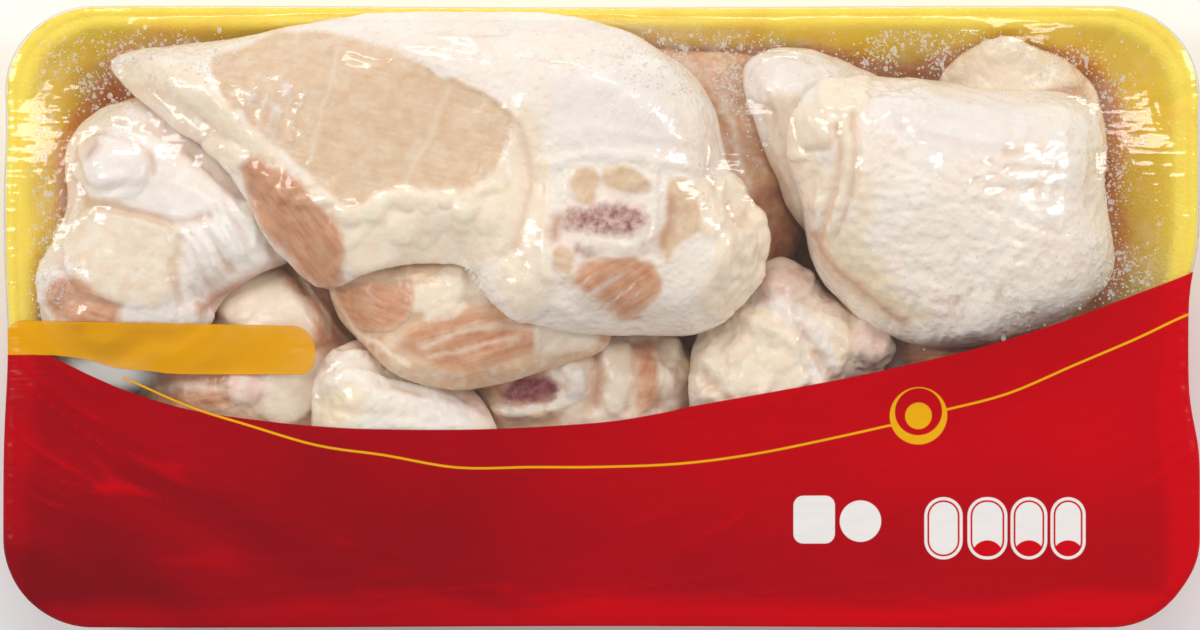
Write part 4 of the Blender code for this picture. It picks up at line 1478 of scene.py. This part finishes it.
@dataclass(frozen=True)
class PrintedFilm:
    """Clear stretch film of plasticised PVC, printed from behind with opaque inks.

    The clear part is only seen by its glints: two smooth faces send back about 8% of the light
    from above, and much more at a slant. Mist under it whitens what it covers. The ink is solid
    and glossy under the same smooth face.
    """

    red: str = "#CE0011"
    deep_red: str = "#7E0814"
    yellow: str = "#F2B010"
    orange: str = "#F1AD07"
    white: str = "#EFEAE6"
    mist: str = "#F4EFE6"

    # A stretch mark's length, width and height
    STREAK = (30.0, 2.2, 20.0)
    # Half the width of a printed edge
    SOFT = 0.12

    def build(self, printed: bool) -> bpy.types.Material:
        """Makes the material.

        Args:
            printed: Whether this is the part of the film that has ink on it.

        Returns:
            The material.
        """
        material, add = new_material("printed_stretch_film" if printed else "clear_stretch_film")
        coords = add("TexCoord").outputs["Object"]
        crinkle = add("TexNoise", {"Vector": coords, "Scale": 1 / (5 * MM), "Detail": 1.0})
        drawn_out = add(
            "Mapping",
            {
                "Vector": coords,
                "Rotation": (0, 0, math.radians(28)),
                "Scale": tuple(1 / (size * MM) for size in self.STREAK),
            },
        )
        streaks = add("TexNoise", {"Vector": drawn_out, "Scale": 1.0, "Detail": 1.0})
        height = add("Math", {0: streaks, 1: 0.6, 2: crinkle}, operation="MULTIPLY_ADD")
        bump = add("Bump", {"Strength": 0.32, "Distance": 0.8 * MM, "Height": height})
        slant = add("LayerWeight", {"Blend": 0.5}).outputs["Facing"]
        slant = add("Math", {0: slant, 1: 4.0}, operation="POWER")
        sent_back = add("Math", {0: slant, 1: 0.75, 2: 0.045}, operation="MULTIPLY_ADD")
        glint = add("BsdfGlossy", {"Roughness": 0.08, "Normal": bump})
        see_through = add("BsdfTransparent", {"Color": (1, 1, 1, 1)})
        clear = add("MixShader", {0: sent_back, 1: see_through, 2: glint})
        mist = add("Attribute", attribute_name="mist").outputs["Fac"]
        white = add("BsdfPrincipled", {"Base Color": linear(self.mist), "Roughness": 0.4})
        surface = add("MixShader", {0: mist, 1: clear, 2: white})
        if printed:
            ink, cover = self.ink(add, bump)
            surface = add("MixShader", {0: cover, 1: surface, 2: ink})
        add("OutputMaterial", {"Surface": surface})
        return material

    def ink(self, add: AddNode, bump: object) -> tuple[bpy.types.Node, object]:
        """The printed inks.

        Args:
            add: Adds a node to the material.
            bump: The film's surface.

        Returns:
            The ink's shader, and how far it covers the film.
        """
        # The bands of stored distance that a shape lies in, its colour and how well it covers
        layers: list[tuple] = [
            ([("red_field", -FAR, 0.0)], None, 1.0),
            ([("pill", -FAR, 0.0)], self.orange, 0.9),
            (
                [("line", -0.36, 0.36), ("line start", 0.0, FAR), ("ring", -0.3, FAR)],
                self.yellow,
                1.0,
            ),
            ([("ring", -FAR, 0.0), ("hole", 0.0, FAR)], self.yellow, 1.0),
            ([("ring", -FAR, -4.8)], self.yellow, 1.0),
            ([("square", -FAR, 0.0)], self.white, 1.0),
            ([("disc", -FAR, 0.0)], self.white, 1.0),
        ]
        for number in range(len(Print.CAPSULES)):
            capsule = f"capsule {number}"
            layers.append(([(capsule, -FAR, 0.0)], self.white, 1.0))
            layers.append(([(capsule, -1.55, -0.95)], self.red, 1.0))
            if number:
                bowl = [(f"bowl {number}", -FAR, 0.0), (capsule, -FAR, -1.0)]
                layers.append((bowl, self.red, 1.0))
        lit = add("Attribute", attribute_name="lit").outputs["Fac"]
        colour = add(
            "Mix",
            {0: lit, MIX_A: linear(self.deep_red), MIX_B: linear(self.red)},
            data_type="RGBA",
        )
        cover: object = 0.0
        for bands, tone, strength in layers:
            share = self.within(add, *bands[0])
            for band in bands[1:]:
                share = add("Math", {0: share, 1: self.within(add, *band)}, operation="MINIMUM")
            share = add("Math", {0: share, 1: strength}, operation="MULTIPLY")
            if tone is not None:
                colour = add(
                    "Mix", {0: share, MIX_A: colour, MIX_B: linear(tone)}, data_type="RGBA"
                )
            cover = add("Math", {0: cover, 1: share}, operation="MAXIMUM")
        shader = add(
            "BsdfPrincipled",
            {
                "Base Color": colour,
                "Roughness": 0.22,
                "IOR": 1.4,
                "Specular IOR Level": 0.22,
                "Normal": bump,
            },
        )
        return shader, cover

    def within(self, add: AddNode, name: str, low: float, high: float) -> bpy.types.Node:
        """1 where a stored distance lies between low and high, with soft edges."""
        stored = add("Attribute", attribute_name=name).outputs["Fac"]
        middle, half = (low + high) / 2, (high - low) / 2
        away = add("Math", {0: stored, 1: middle}, operation="SUBTRACT")
        away = add("Math", {0: away}, operation="ABSOLUTE")
        return add(
            "MapRange",
            {"Value": away, "From Min": half + self.SOFT, "From Max": half - self.SOFT},
        )


@dataclass
class StretchFilm:
    """The film: over the rim and the pieces, down the walls and gathered underneath."""

    columns: int = 380
    rows: int = 196
    finish: PrintedFilm = field(default_factory=PrintedFilm)
    obj: bpy.types.Object | None = field(default=None, init=False)

    SINK_ROUNDS = 500
    CLEARANCE = 0.35
    CLING = 0.6
    MIST = 0.2
    # Width of the rim that the film rests on, and how far the film lies above it
    ON_RIM = 4.4
    RIM_LIFT = 0.7
    # Where the film turns down over the rim's edge
    RIM_TURN = 3.6
    # How far in from both sides a corner's folds fan out from
    FAN = 46
    # Groups of tension lines: direction, spacing, height, middle and reach
    TENSION = (
        (-10, 3.0, 0.50, (-41, 87), (46, 9)),
        (-24, 3.2, 0.40, (-13, 76), (22, 12)),
        (62, 3.6, 0.55, (12, 62), (20, 13)),
        (-16, 3.2, 0.30, (-85, 77), (40, 16)),
        (70, 3.4, 0.30, (-94, 58), (26, 20)),
        (-48, 3.2, 0.40, (-113, 62), (30, 12)),
        (40, 3.0, 0.30, (-151, 80), (30, 16)),
        (62, 3.2, 0.35, (-145, 46), (28, 24)),
        (80, 3.2, 0.45, (-162, 32), (10, 16)),
        (-58, 3.2, 0.50, (-47, 10), (22, 12)),
        (-50, 3.4, 0.40, (-32, 14), (24, 14)),
        (38, 3.4, 0.45, (3, 8), (22, 12)),
        (-38, 3.6, 0.50, (-170, -34), (22, 26)),
        (-24, 4.2, 0.40, (-148, -51), (34, 14)),
        (-8, 5.0, 0.30, (-107, -76), (60, 12)),
        (14, 5.0, 0.32, (43, -64), (60, 10)),
        (28, 3.6, 0.40, (175, -39), (14, 22)),
        (6, 5.5, 0.30, (12, -86), (150, 9)),
        (86, 3.4, 0.30, (141, 27), (18, 26)),
        (20, 3.6, 0.25, (112, 49), (40, 24)),
        (12, 4.0, 0.30, (56, -14), (44, 12)),
        (0, 4.0, 0.25, (78, 85), (80, 10)),
    )
    # Down the walls: share of the way in to the foot, and height
    WALL = (
        (0.00, 38.2),
        (0.01, 36.8),
        (0.10, 33.0),
        (0.28, 26.0),
        (0.46, 19.0),
        (0.64, 12.0),
        (0.82, 5.5),
        (0.95, 1.6),
        (1.02, 0.5),
        (1.10, 0.35),
    )
    # Underneath: share of the way out from the middle, and height of the pleats
    UNDERSIDE = ((0.75, 0.3), (0.45, 0.5), (0.2, 0.35))
    FOOT = np.array([HALF_LENGTH - 29.0, HALF_WIDTH - 23.5])

    def stretched(self, tops: HeightMap) -> np.ndarray:
        """Heights of a taut skin from the rim over what stands above it."""
        plan = tops.plan()
        edge = distance_to(plan, rounded_outline(0.0, 18, 1.0), True)
        edge = np.where(np.abs(plan[:, 0]) < HALF_LENGTH - 40, np.minimum(edge, -1.0), edge)
        inset = (-edge).reshape(tops.height.shape)
        across = from_sides(plan).reshape(tops.height.shape)
        inset = np.where(inset > 30, across, inset)
        drop = np.clip((self.RIM_TURN - inset) / self.RIM_TURN, 0, 1.4)
        rim = RIM_HEIGHT + self.RIM_LIFT - drop**2
        on_rim = inset < self.ON_RIM
        under = tops.blurred(tops.height, 2)
        under = np.maximum(under, tops.height) + self.CLEARANCE
        floor = np.where(on_rim, rim, under)
        skin = np.maximum(floor, np.where(on_rim, rim, RIM_HEIGHT + self.RIM_LIFT))
        for _ in range(self.SINK_ROUNDS):
            skin = np.where(on_rim, rim, np.maximum(tops.around(skin), floor))
        gap = skin - floor
        printed = Print().above(plan, Print.FIELD_EDGE).reshape(skin.shape)
        free = smooth_step(printed, 0.0, 14.0)
        pull = self.CLING * free * (1 - smooth_step(gap, 1.0, 7.0))
        drawn = tops.blurred(floor + gap * (1 - pull), 3)
        flatter = tops.blurred(drawn, 40)
        drawn = drawn * free + flatter * (1 - free)
        return np.where(on_rim, rim, np.maximum(drawn, floor))

    def build(self, tops: HeightMap, skin: np.ndarray) -> bpy.types.Object:
        """Makes the film's mesh from a fine grid drawn to the pack's outline."""
        bpy.ops.object.select_all(action="DESELECT")
        bpy.ops.mesh.primitive_grid_add(
            x_subdivisions=self.columns, y_subdivisions=self.rows, size=2.0, location=(0, 0, 0)
        )
        obj = bpy.context.object
        obj.name = "stretch_film"
        square = mesh_points(obj)[:, :2] * MM
        plan = self.to_outline(square)
        height = tops.at(skin, plan)
        height += self.wrinkles(plan)
        height = np.minimum(height, CAD_BOX[1][2] / MM - 0.1)
        set_mesh_points(obj, np.column_stack([plan, height]))
        self.obj = obj
        self.wrap_under()
        set_mesh_points(obj, pinched(mesh_points(obj)))
        return obj

    def to_outline(self, square: np.ndarray) -> np.ndarray:
        """Places of a square grid drawn to the rounded outline.

        Args:
            square: Grid places from -1 to 1.

        Returns:
            Plan places in millimetres.
        """
        half = np.array([HALF_LENGTH, HALF_WIDTH]) - 0.1
        place = square * half
        reach = np.abs(square).max(1)
        edge = place / np.maximum(reach, 1e-6)[:, None]
        corner = half - CORNER_RADIUS
        beyond = np.maximum(np.abs(edge) - corner, 0)
        in_corner = (beyond > 0).all(1)
        direction = np.abs(edge) / np.linalg.norm(edge, axis=1, keepdims=True).clip(1e-6)
        b = (direction * corner).sum(1)
        c = (corner**2).sum() - CORNER_RADIUS**2
        along = b + np.sqrt(np.maximum(b * b - c, 0))
        shrink = np.where(in_corner, along / np.linalg.norm(edge, axis=1).clip(1e-6), 1.0)
        return place * (1 + (shrink - 1) * reach**6)[:, None]

    def wrinkles(self, plan: np.ndarray) -> np.ndarray:
        """Height of the film's tension lines and creases, in millimetres."""
        noise = Noise(31)
        total = np.zeros(len(plan))
        flat = np.column_stack([plan, np.zeros(len(plan))])
        for index, (turn, spacing, tall, middle, reach) in enumerate(self.TENSION):
            along, across = turned(plan, math.radians(turn))
            laid = np.column_stack([along, across, flat[:, 2] + 9.0 * index])
            ridge = 1 - 2.2 * np.abs(noise.hills(laid, (spacing * 11, spacing, 10.0)))
            away = (((plan - np.array(middle)) / np.array(reach)) ** 2).sum(1)
            total += 1.35 * tall * np.clip(ridge, 0, 1) ** 2 * np.exp(-away)
        total += 0.12 * noise.hills(flat, 9.0)
        for sign_x, sign_y in product((-1, 1), repeat=2):
            # The film gathers round each corner, in folds that fan out from a point inside it
            centre = (sign_x * (HALF_LENGTH - self.FAN), sign_y * (HALF_WIDTH - self.FAN))
            offset = (plan - centre) * (sign_x, sign_y)
            angle = np.arctan2(offset[:, 1], offset[:, 0])
            radius = np.linalg.norm(offset, axis=1)
            waves = np.cos(angle * 26 + 2.2 * noise.hills(flat, 30))
            mask = smooth_step(radius, 34, 58) * smooth_step(offset.min(1), 0, 12)
            total += 0.22 * mask * np.clip(waves, 0, 1) ** 2
        return total * smooth_step(from_sides(plan), 0.0, 5.0)

    def wrap_under(self) -> None:
        """Extrudes the grid's edge down the walls and gathers it underneath."""
        choose_only(self.obj)
        bpy.ops.object.mode_set(mode="EDIT")
        bpy.ops.mesh.select_mode(type="EDGE")
        bpy.ops.mesh.select_all(action="DESELECT")
        edit = bmesh.from_edit_mesh(self.obj.data)
        for edge in edit.edges:
            edge.select_set(edge.is_boundary)
        start = {v.index: v.co.copy() / MM for v in edit.verts if v.select}
        order = edit.verts.layers.int.new("start")
        for vert in edit.verts:
            vert[order] = vert.index
        noise = Noise(12)
        for share, height in self.WALL:
            self.pull_edge(start, partial(self.on_wall, noise, share, height))
        for share, rise in self.UNDERSIDE:
            self.pull_edge(start, partial(self.underneath, noise, share, rise))
        bpy.ops.mesh.edge_face_add()
        bpy.ops.mesh.select_all(action="SELECT")
        bpy.ops.mesh.normals_make_consistent(inside=False)
        bmesh.update_edit_mesh(self.obj.data)
        bpy.ops.object.mode_set(mode="OBJECT")
        bpy.ops.object.shade_smooth()

    def pull_edge(self, start: dict, place_of: Callable[[np.ndarray], np.ndarray]) -> None:
        """Extrudes the open edge and moves it.

        Args:
            start: Where each point of the grid's edge began, by its number.
            place_of: Gives new places, in millimetres, from where the points began.
        """
        bpy.ops.mesh.extrude_edges_move()
        edit = bmesh.from_edit_mesh(self.obj.data)
        order = edit.verts.layers.int["start"]
        chosen = [v for v in edit.verts if v.select]
        begin = np.array([start[v[order]] for v in chosen])[:, :2]
        for vert, place in zip(chosen, place_of(begin)):
            vert.co = place * MM

    def on_wall(self, noise: Noise, share: float, height: float, begin: np.ndarray) -> np.ndarray:
        """Places on the wall, with soft ripples."""
        target = begin * self.FOOT / (HALF_LENGTH, HALF_WIDTH)
        place = begin * (1 - share) + target * share
        limit = (HALF_LENGTH - 0.05, HALF_WIDTH - 0.05)
        place = np.minimum(np.abs(place), limit) * np.sign(place)
        sample = np.column_stack([begin, np.full(len(begin), 40.0)])
        ripple = noise.hills(sample, (9.0, 9.0, 50.0)) * min(share, 1 - share / 1.2) * 1.6
        outwards = begin / np.linalg.norm(begin, axis=1, keepdims=True)
        place = place + outwards * ripple[:, None]
        return np.column_stack([place, np.full(len(place), height)])

    def underneath(self, noise: Noise, share: float, rise: float, begin: np.ndarray) -> np.ndarray:
        """Places under the tray, gathered in shallow pleats."""
        target = begin * self.FOOT / (HALF_LENGTH, HALF_WIDTH)
        place = target * (share * 0.9 + 0.1, share)
        sample = np.column_stack([place, np.zeros(len(place))])
        pleats = np.abs(noise.hills(sample, (14.0, 5.0, 9.0))) * rise
        return np.column_stack([place, 0.1 + pleats])

    def print_inks(self) -> None:
        """Stores the edge of each printed shape on the mesh."""
        points = mesh_points(self.obj)
        plan = points[:, :2]
        marks = Print()
        on_wall = points[:, 2] < RIM_HEIGHT - 6
        for name, away in marks.distances(plan).items():
            if name not in ("red_field", "pill"):
                away = np.where(on_wall, PRINT_REACH, away)
            store_attribute(self.obj, name, np.clip(away, -PRINT_REACH, PRINT_REACH))
        lit = marks.lit(plan) + 0.5 * smooth_step(self.wrinkles(plan), 0.18, 0.62)
        store_attribute(self.obj, "lit", np.clip(lit, 0, 1))

    def mist_over(self, zones: tuple) -> None:
        """Stores where fine mist, or strain in the film, whitens what is under it."""
        points = mesh_points(self.obj)
        plan = points[:, :2]
        noise = Noise(77)
        cloud = noise.layered(points, 16.0, 3)
        mist = np.zeros(len(points))
        for middle, reach, strength in zones:
            away = (((plan - np.array(middle)) / np.array(reach)) ** 2).sum(1)
            mist = np.maximum(mist, self.MIST * strength * np.exp(-(away**2)))
        speckle = 0.3 + 0.7 * smooth_step(noise.hills(points, 2.0), -0.6, 0.8)
        mist = mist * smooth_step(cloud, -0.9, 1.0) * speckle
        away = (((plan - np.array(HAZE_MIDDLE)) / np.array(HAZE_REACH)) ** 2).sum(1)
        mist = np.maximum(mist, 0.6 * np.exp(-(away**2)))
        strain = smooth_step(self.wrinkles(plan), 0.32, 0.75)
        mist = np.maximum(mist, 0.65 * strain)
        mist[points[:, 2] < RIM_HEIGHT - 2] = 0
        store_attribute(self.obj, "mist", np.clip(mist, 0, 1))

    def dress(self) -> None:
        """Gives the film its finish, clear and printed, and hands it over."""
        mesh = self.obj.data
        found = Print().distances(mesh_points(self.obj)[:, :2])
        inked = (found["red_field"] < 2) | (found["pill"] < 2)
        inked |= (np.abs(found["line"]) < 2) & (found["line start"] > -1)
        corners = np.empty(len(mesh.loops), np.int32)
        mesh.loops.foreach_get("vertex_index", corners)
        starts = np.empty(len(mesh.polygons), np.int32)
        mesh.polygons.foreach_get("loop_start", starts)
        mesh.materials.clear()
        mesh.materials.append(self.finish.build(printed=False))
        mesh.materials.append(self.finish.build(printed=True))
        mesh.polygons.foreach_set(
            "material_index", np.logical_or.reduceat(inked[corners], starts).astype(np.int32)
        )
        hand_over(self.obj, "film", "film")


class Print:
    """The printed shapes, as distances in the plan."""

    FIELD_EDGE: Plan = mm(
        "-190,-11 -179,-12 -173,-12 -158,-19 -146,-24 -129,-29 -110,-32 -90,-34 -68,-35 -35,-35 "
        "0,-33 19,-30 28,-28 50,-24 72,-20 91,-16 120,-9 148,0 167,7 183,13 192,17")
    LINE: Plan = mm(
        "-149,-19 -129,-28 -110,-34 -89,-40 -68,-43 -45,-47 -22,-47 -1,-47 24,-46 47,-43 72,-38 "
        "90,-34")
    PILL_FOOT: Plan = mm("-190,-12 -173,-12 -163,-13 -158,-14 -151,-16 -141,-17 -129,-18 -85,-18")
    EMBLEM: tuple[float, float] = (99, -31)
    CAPSULES = ((101.0, 113.0), (114.5, 127.0), (128.0, 139.5), (140.5, 151.5))
    LINE_RIGHT: Plan = mm("108,-29 127,-24 148,-15 167,-7 182,0 189,2")

    def distances(self, plan: np.ndarray) -> dict[str, np.ndarray]:
        """Distance to each ink's edge, below zero where it prints.

        Args:
            plan: Plan places, in millimetres.

        Returns:
            Distances by the name of the ink.
        """
        past_emblem = plan[:, 0] > self.EMBLEM[0]
        line = np.where(past_emblem, self.above(plan, self.LINE_RIGHT), self.above(plan, self.LINE))
        pill = self.box(plan, (-187.5, -18.5), (-89, -2), 7.6, lean=-0.02)
        ring = np.linalg.norm(plan - np.array(self.EMBLEM), axis=1)
        hole = np.linalg.norm(plan - np.array(self.EMBLEM) - (0, 1.3), axis=1)
        found = {
            "red_field": self.above(plan, self.FIELD_EDGE),
            "pill": np.maximum(pill, -self.above(plan, self.PILL_FOOT)),
            "line": line,
            "line start": plan[:, 0] - self.LINE[0][0],
            "ring": ring - 9.0,
            "hole": hole - 7.4,
            "square": self.box(plan, (60, -71), (73, -56), 3.0),
            "disc": np.linalg.norm(plan - np.array((81, -64)), axis=1) - 6.5,
        }
        for number, (left, right_side) in enumerate(self.CAPSULES):
            found[f"capsule {number}"] = self.box(plan, (left, -76.0), (right_side, -56.5), 5.9)
            middle = ((left + right_side) / 2, -75.0)
            found[f"bowl {number}"] = np.linalg.norm(plan - np.array(middle), axis=1) - 5.0
        return found

    def above(self, plan: np.ndarray, knots: Plan) -> np.ndarray:
        """Distance above a smooth line that runs from left to right, below zero under it."""
        curve = curve_through(knots, False)
        height = np.interp(plan[:, 0], curve[:, 0], curve[:, 1])
        slope = np.interp(plan[:, 0], curve[:, 0], np.gradient(curve[:, 1], curve[:, 0]))
        return (plan[:, 1] - height) / np.sqrt(1 + slope**2)

    def box(
        self, plan: np.ndarray, low: tuple, high: tuple, radius: float, lean: float = 0.0
    ) -> np.ndarray:
        """Distance to a box with round corners.

        Args:
            plan: Plan places.
            low: Its lower left corner.
            high: Its upper right corner.
            radius: Radius of its corners.
            lean: How much it rises for each millimetre to the right.

        Returns:
            Distances, below zero inside.
        """
        middle, half = np.add(high, low) / 2, np.subtract(high, low) / 2
        radius = min(radius, half.min())
        offset = plan - middle
        offset = np.column_stack([offset[:, 0], offset[:, 1] - lean * offset[:, 0]])
        out = np.abs(offset) - (half - radius)
        return np.linalg.norm(np.maximum(out, 0), axis=1) + np.minimum(out.max(1), 0) - radius

    def lit(self, plan: np.ndarray) -> np.ndarray:
        """Where the red ink is backed by the bright rim, from 0 to 1."""
        noise = Noise(8)
        flat = np.column_stack([plan, np.zeros(len(plan))])
        right = smooth_step(plan[:, 0], -190.0, 150.0)
        wave = 3.0 * noise.hills(flat, 30.0)
        rim = (1 - smooth_step(from_sides(plan) + wave, 5.0, 13.0)) * (0.45 + 0.55 * right)
        high = smooth_step(plan[:, 1], -75.0, -35.0)
        cloud = 0.12 * noise.layered(flat, 40.0, 2)
        along, across = turned(plan, math.radians(-28))
        folds = noise.hills(np.column_stack([along, across, flat[:, 2]]), (70.0, 11.0, 10.0))
        folds *= 0.16 * (1 - smooth_step(plan[:, 0], -150.0, -40.0))
        return np.clip(0.12 + 0.5 * rim + 0.5 * right + 0.3 * high + cloud + folds, 0, 1)


@dataclass(frozen=True)
class WaterDrops:
    """Clear water, whose rounded sides gather the light into bright specks."""

    tint: str = "#FBF8F2"
    glint: str = "#FFFFFF"

    def build(self) -> bpy.types.Material:
        """Makes the material."""
        material, add = new_material("water_drops")
        slant = add("LayerWeight", {"Blend": 0.5}).outputs["Facing"]
        slant = add("Math", {0: slant, 1: 2.5}, operation="POWER")
        sent_back = add("Math", {0: slant, 1: 0.5, 2: 0.22}, operation="MULTIPLY_ADD")
        glint = add("BsdfPrincipled", {"Base Color": linear(self.glint), "Roughness": 0.12})
        clear = add("BsdfTransparent", {"Color": linear(self.tint)})
        shader = add("MixShader", {0: sent_back, 1: clear, 2: glint})
        add("OutputMaterial", {"Surface": shader})
        return material


@dataclass
class Condensation:
    """Drops of water under the film, thickest along the tray's walls."""

    zones: tuple
    count: int = 3900
    seed: int = 9
    finish: WaterDrops = field(default_factory=WaterDrops)

    SMALLEST = 0.16
    LARGEST = 0.9
    # How far the drops stay from the pack's sides and from the print
    SIDE_GAP = 8.0
    PRINT_GAP = 0.6

    def scatter(self, rng: np.random.Generator) -> tuple[np.ndarray, np.ndarray]:
        """Draws the drops' places and sizes, and leaves out those over the print."""
        noise = Noise(41)
        places, sizes = [], []
        while len(places) < self.count:
            middle, reach, weight = self.zones[rng.integers(len(self.zones))]
            place = np.array(middle) + rng.normal(0, 0.55, 2) * np.array(reach)
            if rng.random() > weight or from_sides(place[None])[0] < self.SIDE_GAP:
                continue
            cloud = noise.hills(np.array([[*place, 0.0]]), 8.0)[0]
            if cloud < rng.uniform(-0.7, 0.5):
                continue
            places.append(place)
            sizes.append(self.SMALLEST + 0.13 * rng.exponential())
        away = Print().distances(np.array(places))
        shown = np.minimum(away["red_field"], away["pill"]) > self.PRINT_GAP
        return np.array(places)[shown], np.minimum(sizes, self.LARGEST)[shown]

    def build(self, tops: HeightMap, skin: np.ndarray) -> bpy.types.Object:
        """Makes all the drops as one mesh.

        Args:
            tops: The grid that skin is on.
            skin: The film's height on that grid.

        Returns:
            The drops.
        """
        rng = np.random.default_rng(self.seed)
        places, sizes = self.scatter(rng)
        bpy.ops.object.select_all(action="DESELECT")
        bpy.ops.mesh.primitive_uv_sphere_add(segments=8, ring_count=4, radius=1.0)
        drop = bpy.context.object
        shape = mesh_points(drop) * MM
        faces = [np.array(p.vertices) for p in drop.data.polygons]
        bpy.data.objects.remove(drop, do_unlink=True)
        points, polygons = [], []
        for index, (place, size, top) in enumerate(zip(places, sizes, tops.at(skin, places))):
            centre = np.array([*place, top - 0.25 - 0.35 * size])
            points.append(shape * (size, size * rng.uniform(0.8, 1.25), 0.5 * size) + centre)
            polygons += [tuple(face + index * len(shape)) for face in faces]
        mesh = bpy.data.meshes.new("condensation")
        mesh.from_pydata((np.vstack(points) * MM).tolist(), [], polygons)
        mesh.shade_smooth()
        mesh.materials.append(self.finish.build())
        obj = bpy.data.objects.new("condensation", mesh)
        bpy.context.scene.collection.objects.link(obj)
        hand_over(obj, "film")
        return obj


@dataclass
class Studio:
    """A white sweep, soft lights and a camera straight above. Places are in metres."""

    distance: float = 1.6
    frame_width: float = 0.3760
    rim_height: float = 0.041
    aside: tuple[float, float] = (-0.0005, 0.0005)
    sky: float = 0.56

    SENSOR = 36.0
    # The floor lies a hair below the film, so that the two never share a plane
    FLOOR_DROP = 0.0002
    FLOOR_SIZE = 8.0
    # Name, place, size and power of each soft box
    BOXES = (
        ("left box", (-0.85, 0.25, 0.85), (0.22, 0.5), 3.5),
        ("right box", (0.95, 0.35, 0.95), (0.22, 0.5), 3.9),
        ("back box", (0.0, 0.95, 0.9), (0.7, 0.2), 3.7),
    )

    def build(self) -> None:
        """Makes the floor, the lights and the camera."""
        self.floor()
        self.lights()
        self.camera()

    def floor(self) -> None:
        """A wide pale floor under the pack."""
        bpy.ops.object.select_all(action="DESELECT")
        bpy.ops.mesh.primitive_plane_add(size=self.FLOOR_SIZE, location=(0, 0, -self.FLOOR_DROP))
        floor = bpy.context.object
        floor.name = "floor"
        material, add = new_material("white_sweep")
        shader = add("BsdfPrincipled", {"Base Color": linear("#FCFCFC"), "Roughness": 0.8})
        add("OutputMaterial", {"Surface": shader})
        floor.data.materials.append(material)
        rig.stage(floor)

    def lights(self) -> None:
        """Two long soft boxes at the sides, one behind, and an even sky."""
        for name, place, size, power in self.BOXES:
            lamp = bpy.data.lights.new(name, "AREA")
            lamp.shape = "RECTANGLE"
            lamp.size, lamp.size_y = size
            lamp.energy = power
            holder = bpy.data.objects.new(name, lamp)
            holder.location = place
            bpy.context.scene.collection.objects.link(holder)
            holder.rotation_euler = Vector(-np.array(place)).to_track_quat("-Z", "Y").to_euler()
        world = bpy.data.worlds.new("even sky")
        world.use_nodes = True
        back = world.node_tree.nodes["Background"]
        back.inputs["Color"].default_value = linear("#FFFFFF")
        back.inputs["Strength"].default_value = self.sky
        bpy.context.scene.world = world
        bpy.context.scene.view_settings.view_transform = "Standard"

    def camera(self) -> None:
        """A long lens that looks straight down."""
        lens = bpy.data.cameras.new("camera")
        lens.sensor_width = self.SENSOR
        # The pack fills the frame at the height of its rim, where it is widest
        lens.lens = self.SENSOR * (self.distance - self.rim_height) / self.frame_width
        holder = bpy.data.objects.new("camera", lens)
        holder.location = (*self.aside, self.distance)
        bpy.context.scene.collection.objects.link(holder)
        bpy.context.scene.camera = holder


# A stretch of film that is slack and hazy
HAZE_MIDDLE = (-155, -18)
HAZE_REACH = (14, 5)

# Where water condensed: middle, reach and how thickly
WET_ZONES = (
    ((-141, 80), (26, 10), 1.0),
    ((-171, 46), (8, 34), 0.9),
    ((-160, 71), (14, 14), 0.8),
    ((28, 80), (26, 12), 1.0),
    ((39, 62), (10, 24), 0.8),
    ((81, 82), (40, 9), 1.0),
    ((112, 80), (30, 10), 0.7),
    ((147, 77), (22, 12), 0.9),
    ((159, 43), (9, 40), 1.0),
    ((164, 18), (12, 26), 1.0),
    ((125, 5), (40, 10), 0.5),
    ((-170, 8), (10, 20), 0.5),
    ((-47, 94), (60, 5), 0.35),
)


def main() -> None:
    """Builds the pack from the inside out and sets the stage."""
    tops = HeightMap()
    pieces = chicken_pieces()
    for piece in pieces:
        piece.build()
        tops.add(mesh_points(piece.obj))
        log.info("%s carved", piece.node)
    meat = (tops.height > TRAY_FLOOR + 2).astype(float)
    tray = FoamTray()
    tray.build()
    tops.close_gaps()
    film = StretchFilm()
    skin = film.stretched(tops)
    juice = tops.blurred(meat, tray.JUICE_SPREAD)
    for piece in pieces:
        piece.dress(tops, skin)
    tray.dress(tops, juice)
    film.build(tops, skin)
    film.print_inks()
    film.mist_over(WET_ZONES)
    film.dress()
    Condensation(WET_ZONES).build(tops, skin)
    Studio().build()


if __name__ == "__main__":
    logging.basicConfig(level=logging.INFO)
    main()
    with open("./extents.json", "w", encoding="utf-8") as sizes:
        boxes = [[list(map(float, corner)) for corner in box] for box in (CAD_BOX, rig.bounds())]
        json.dump(boxes, sizes)
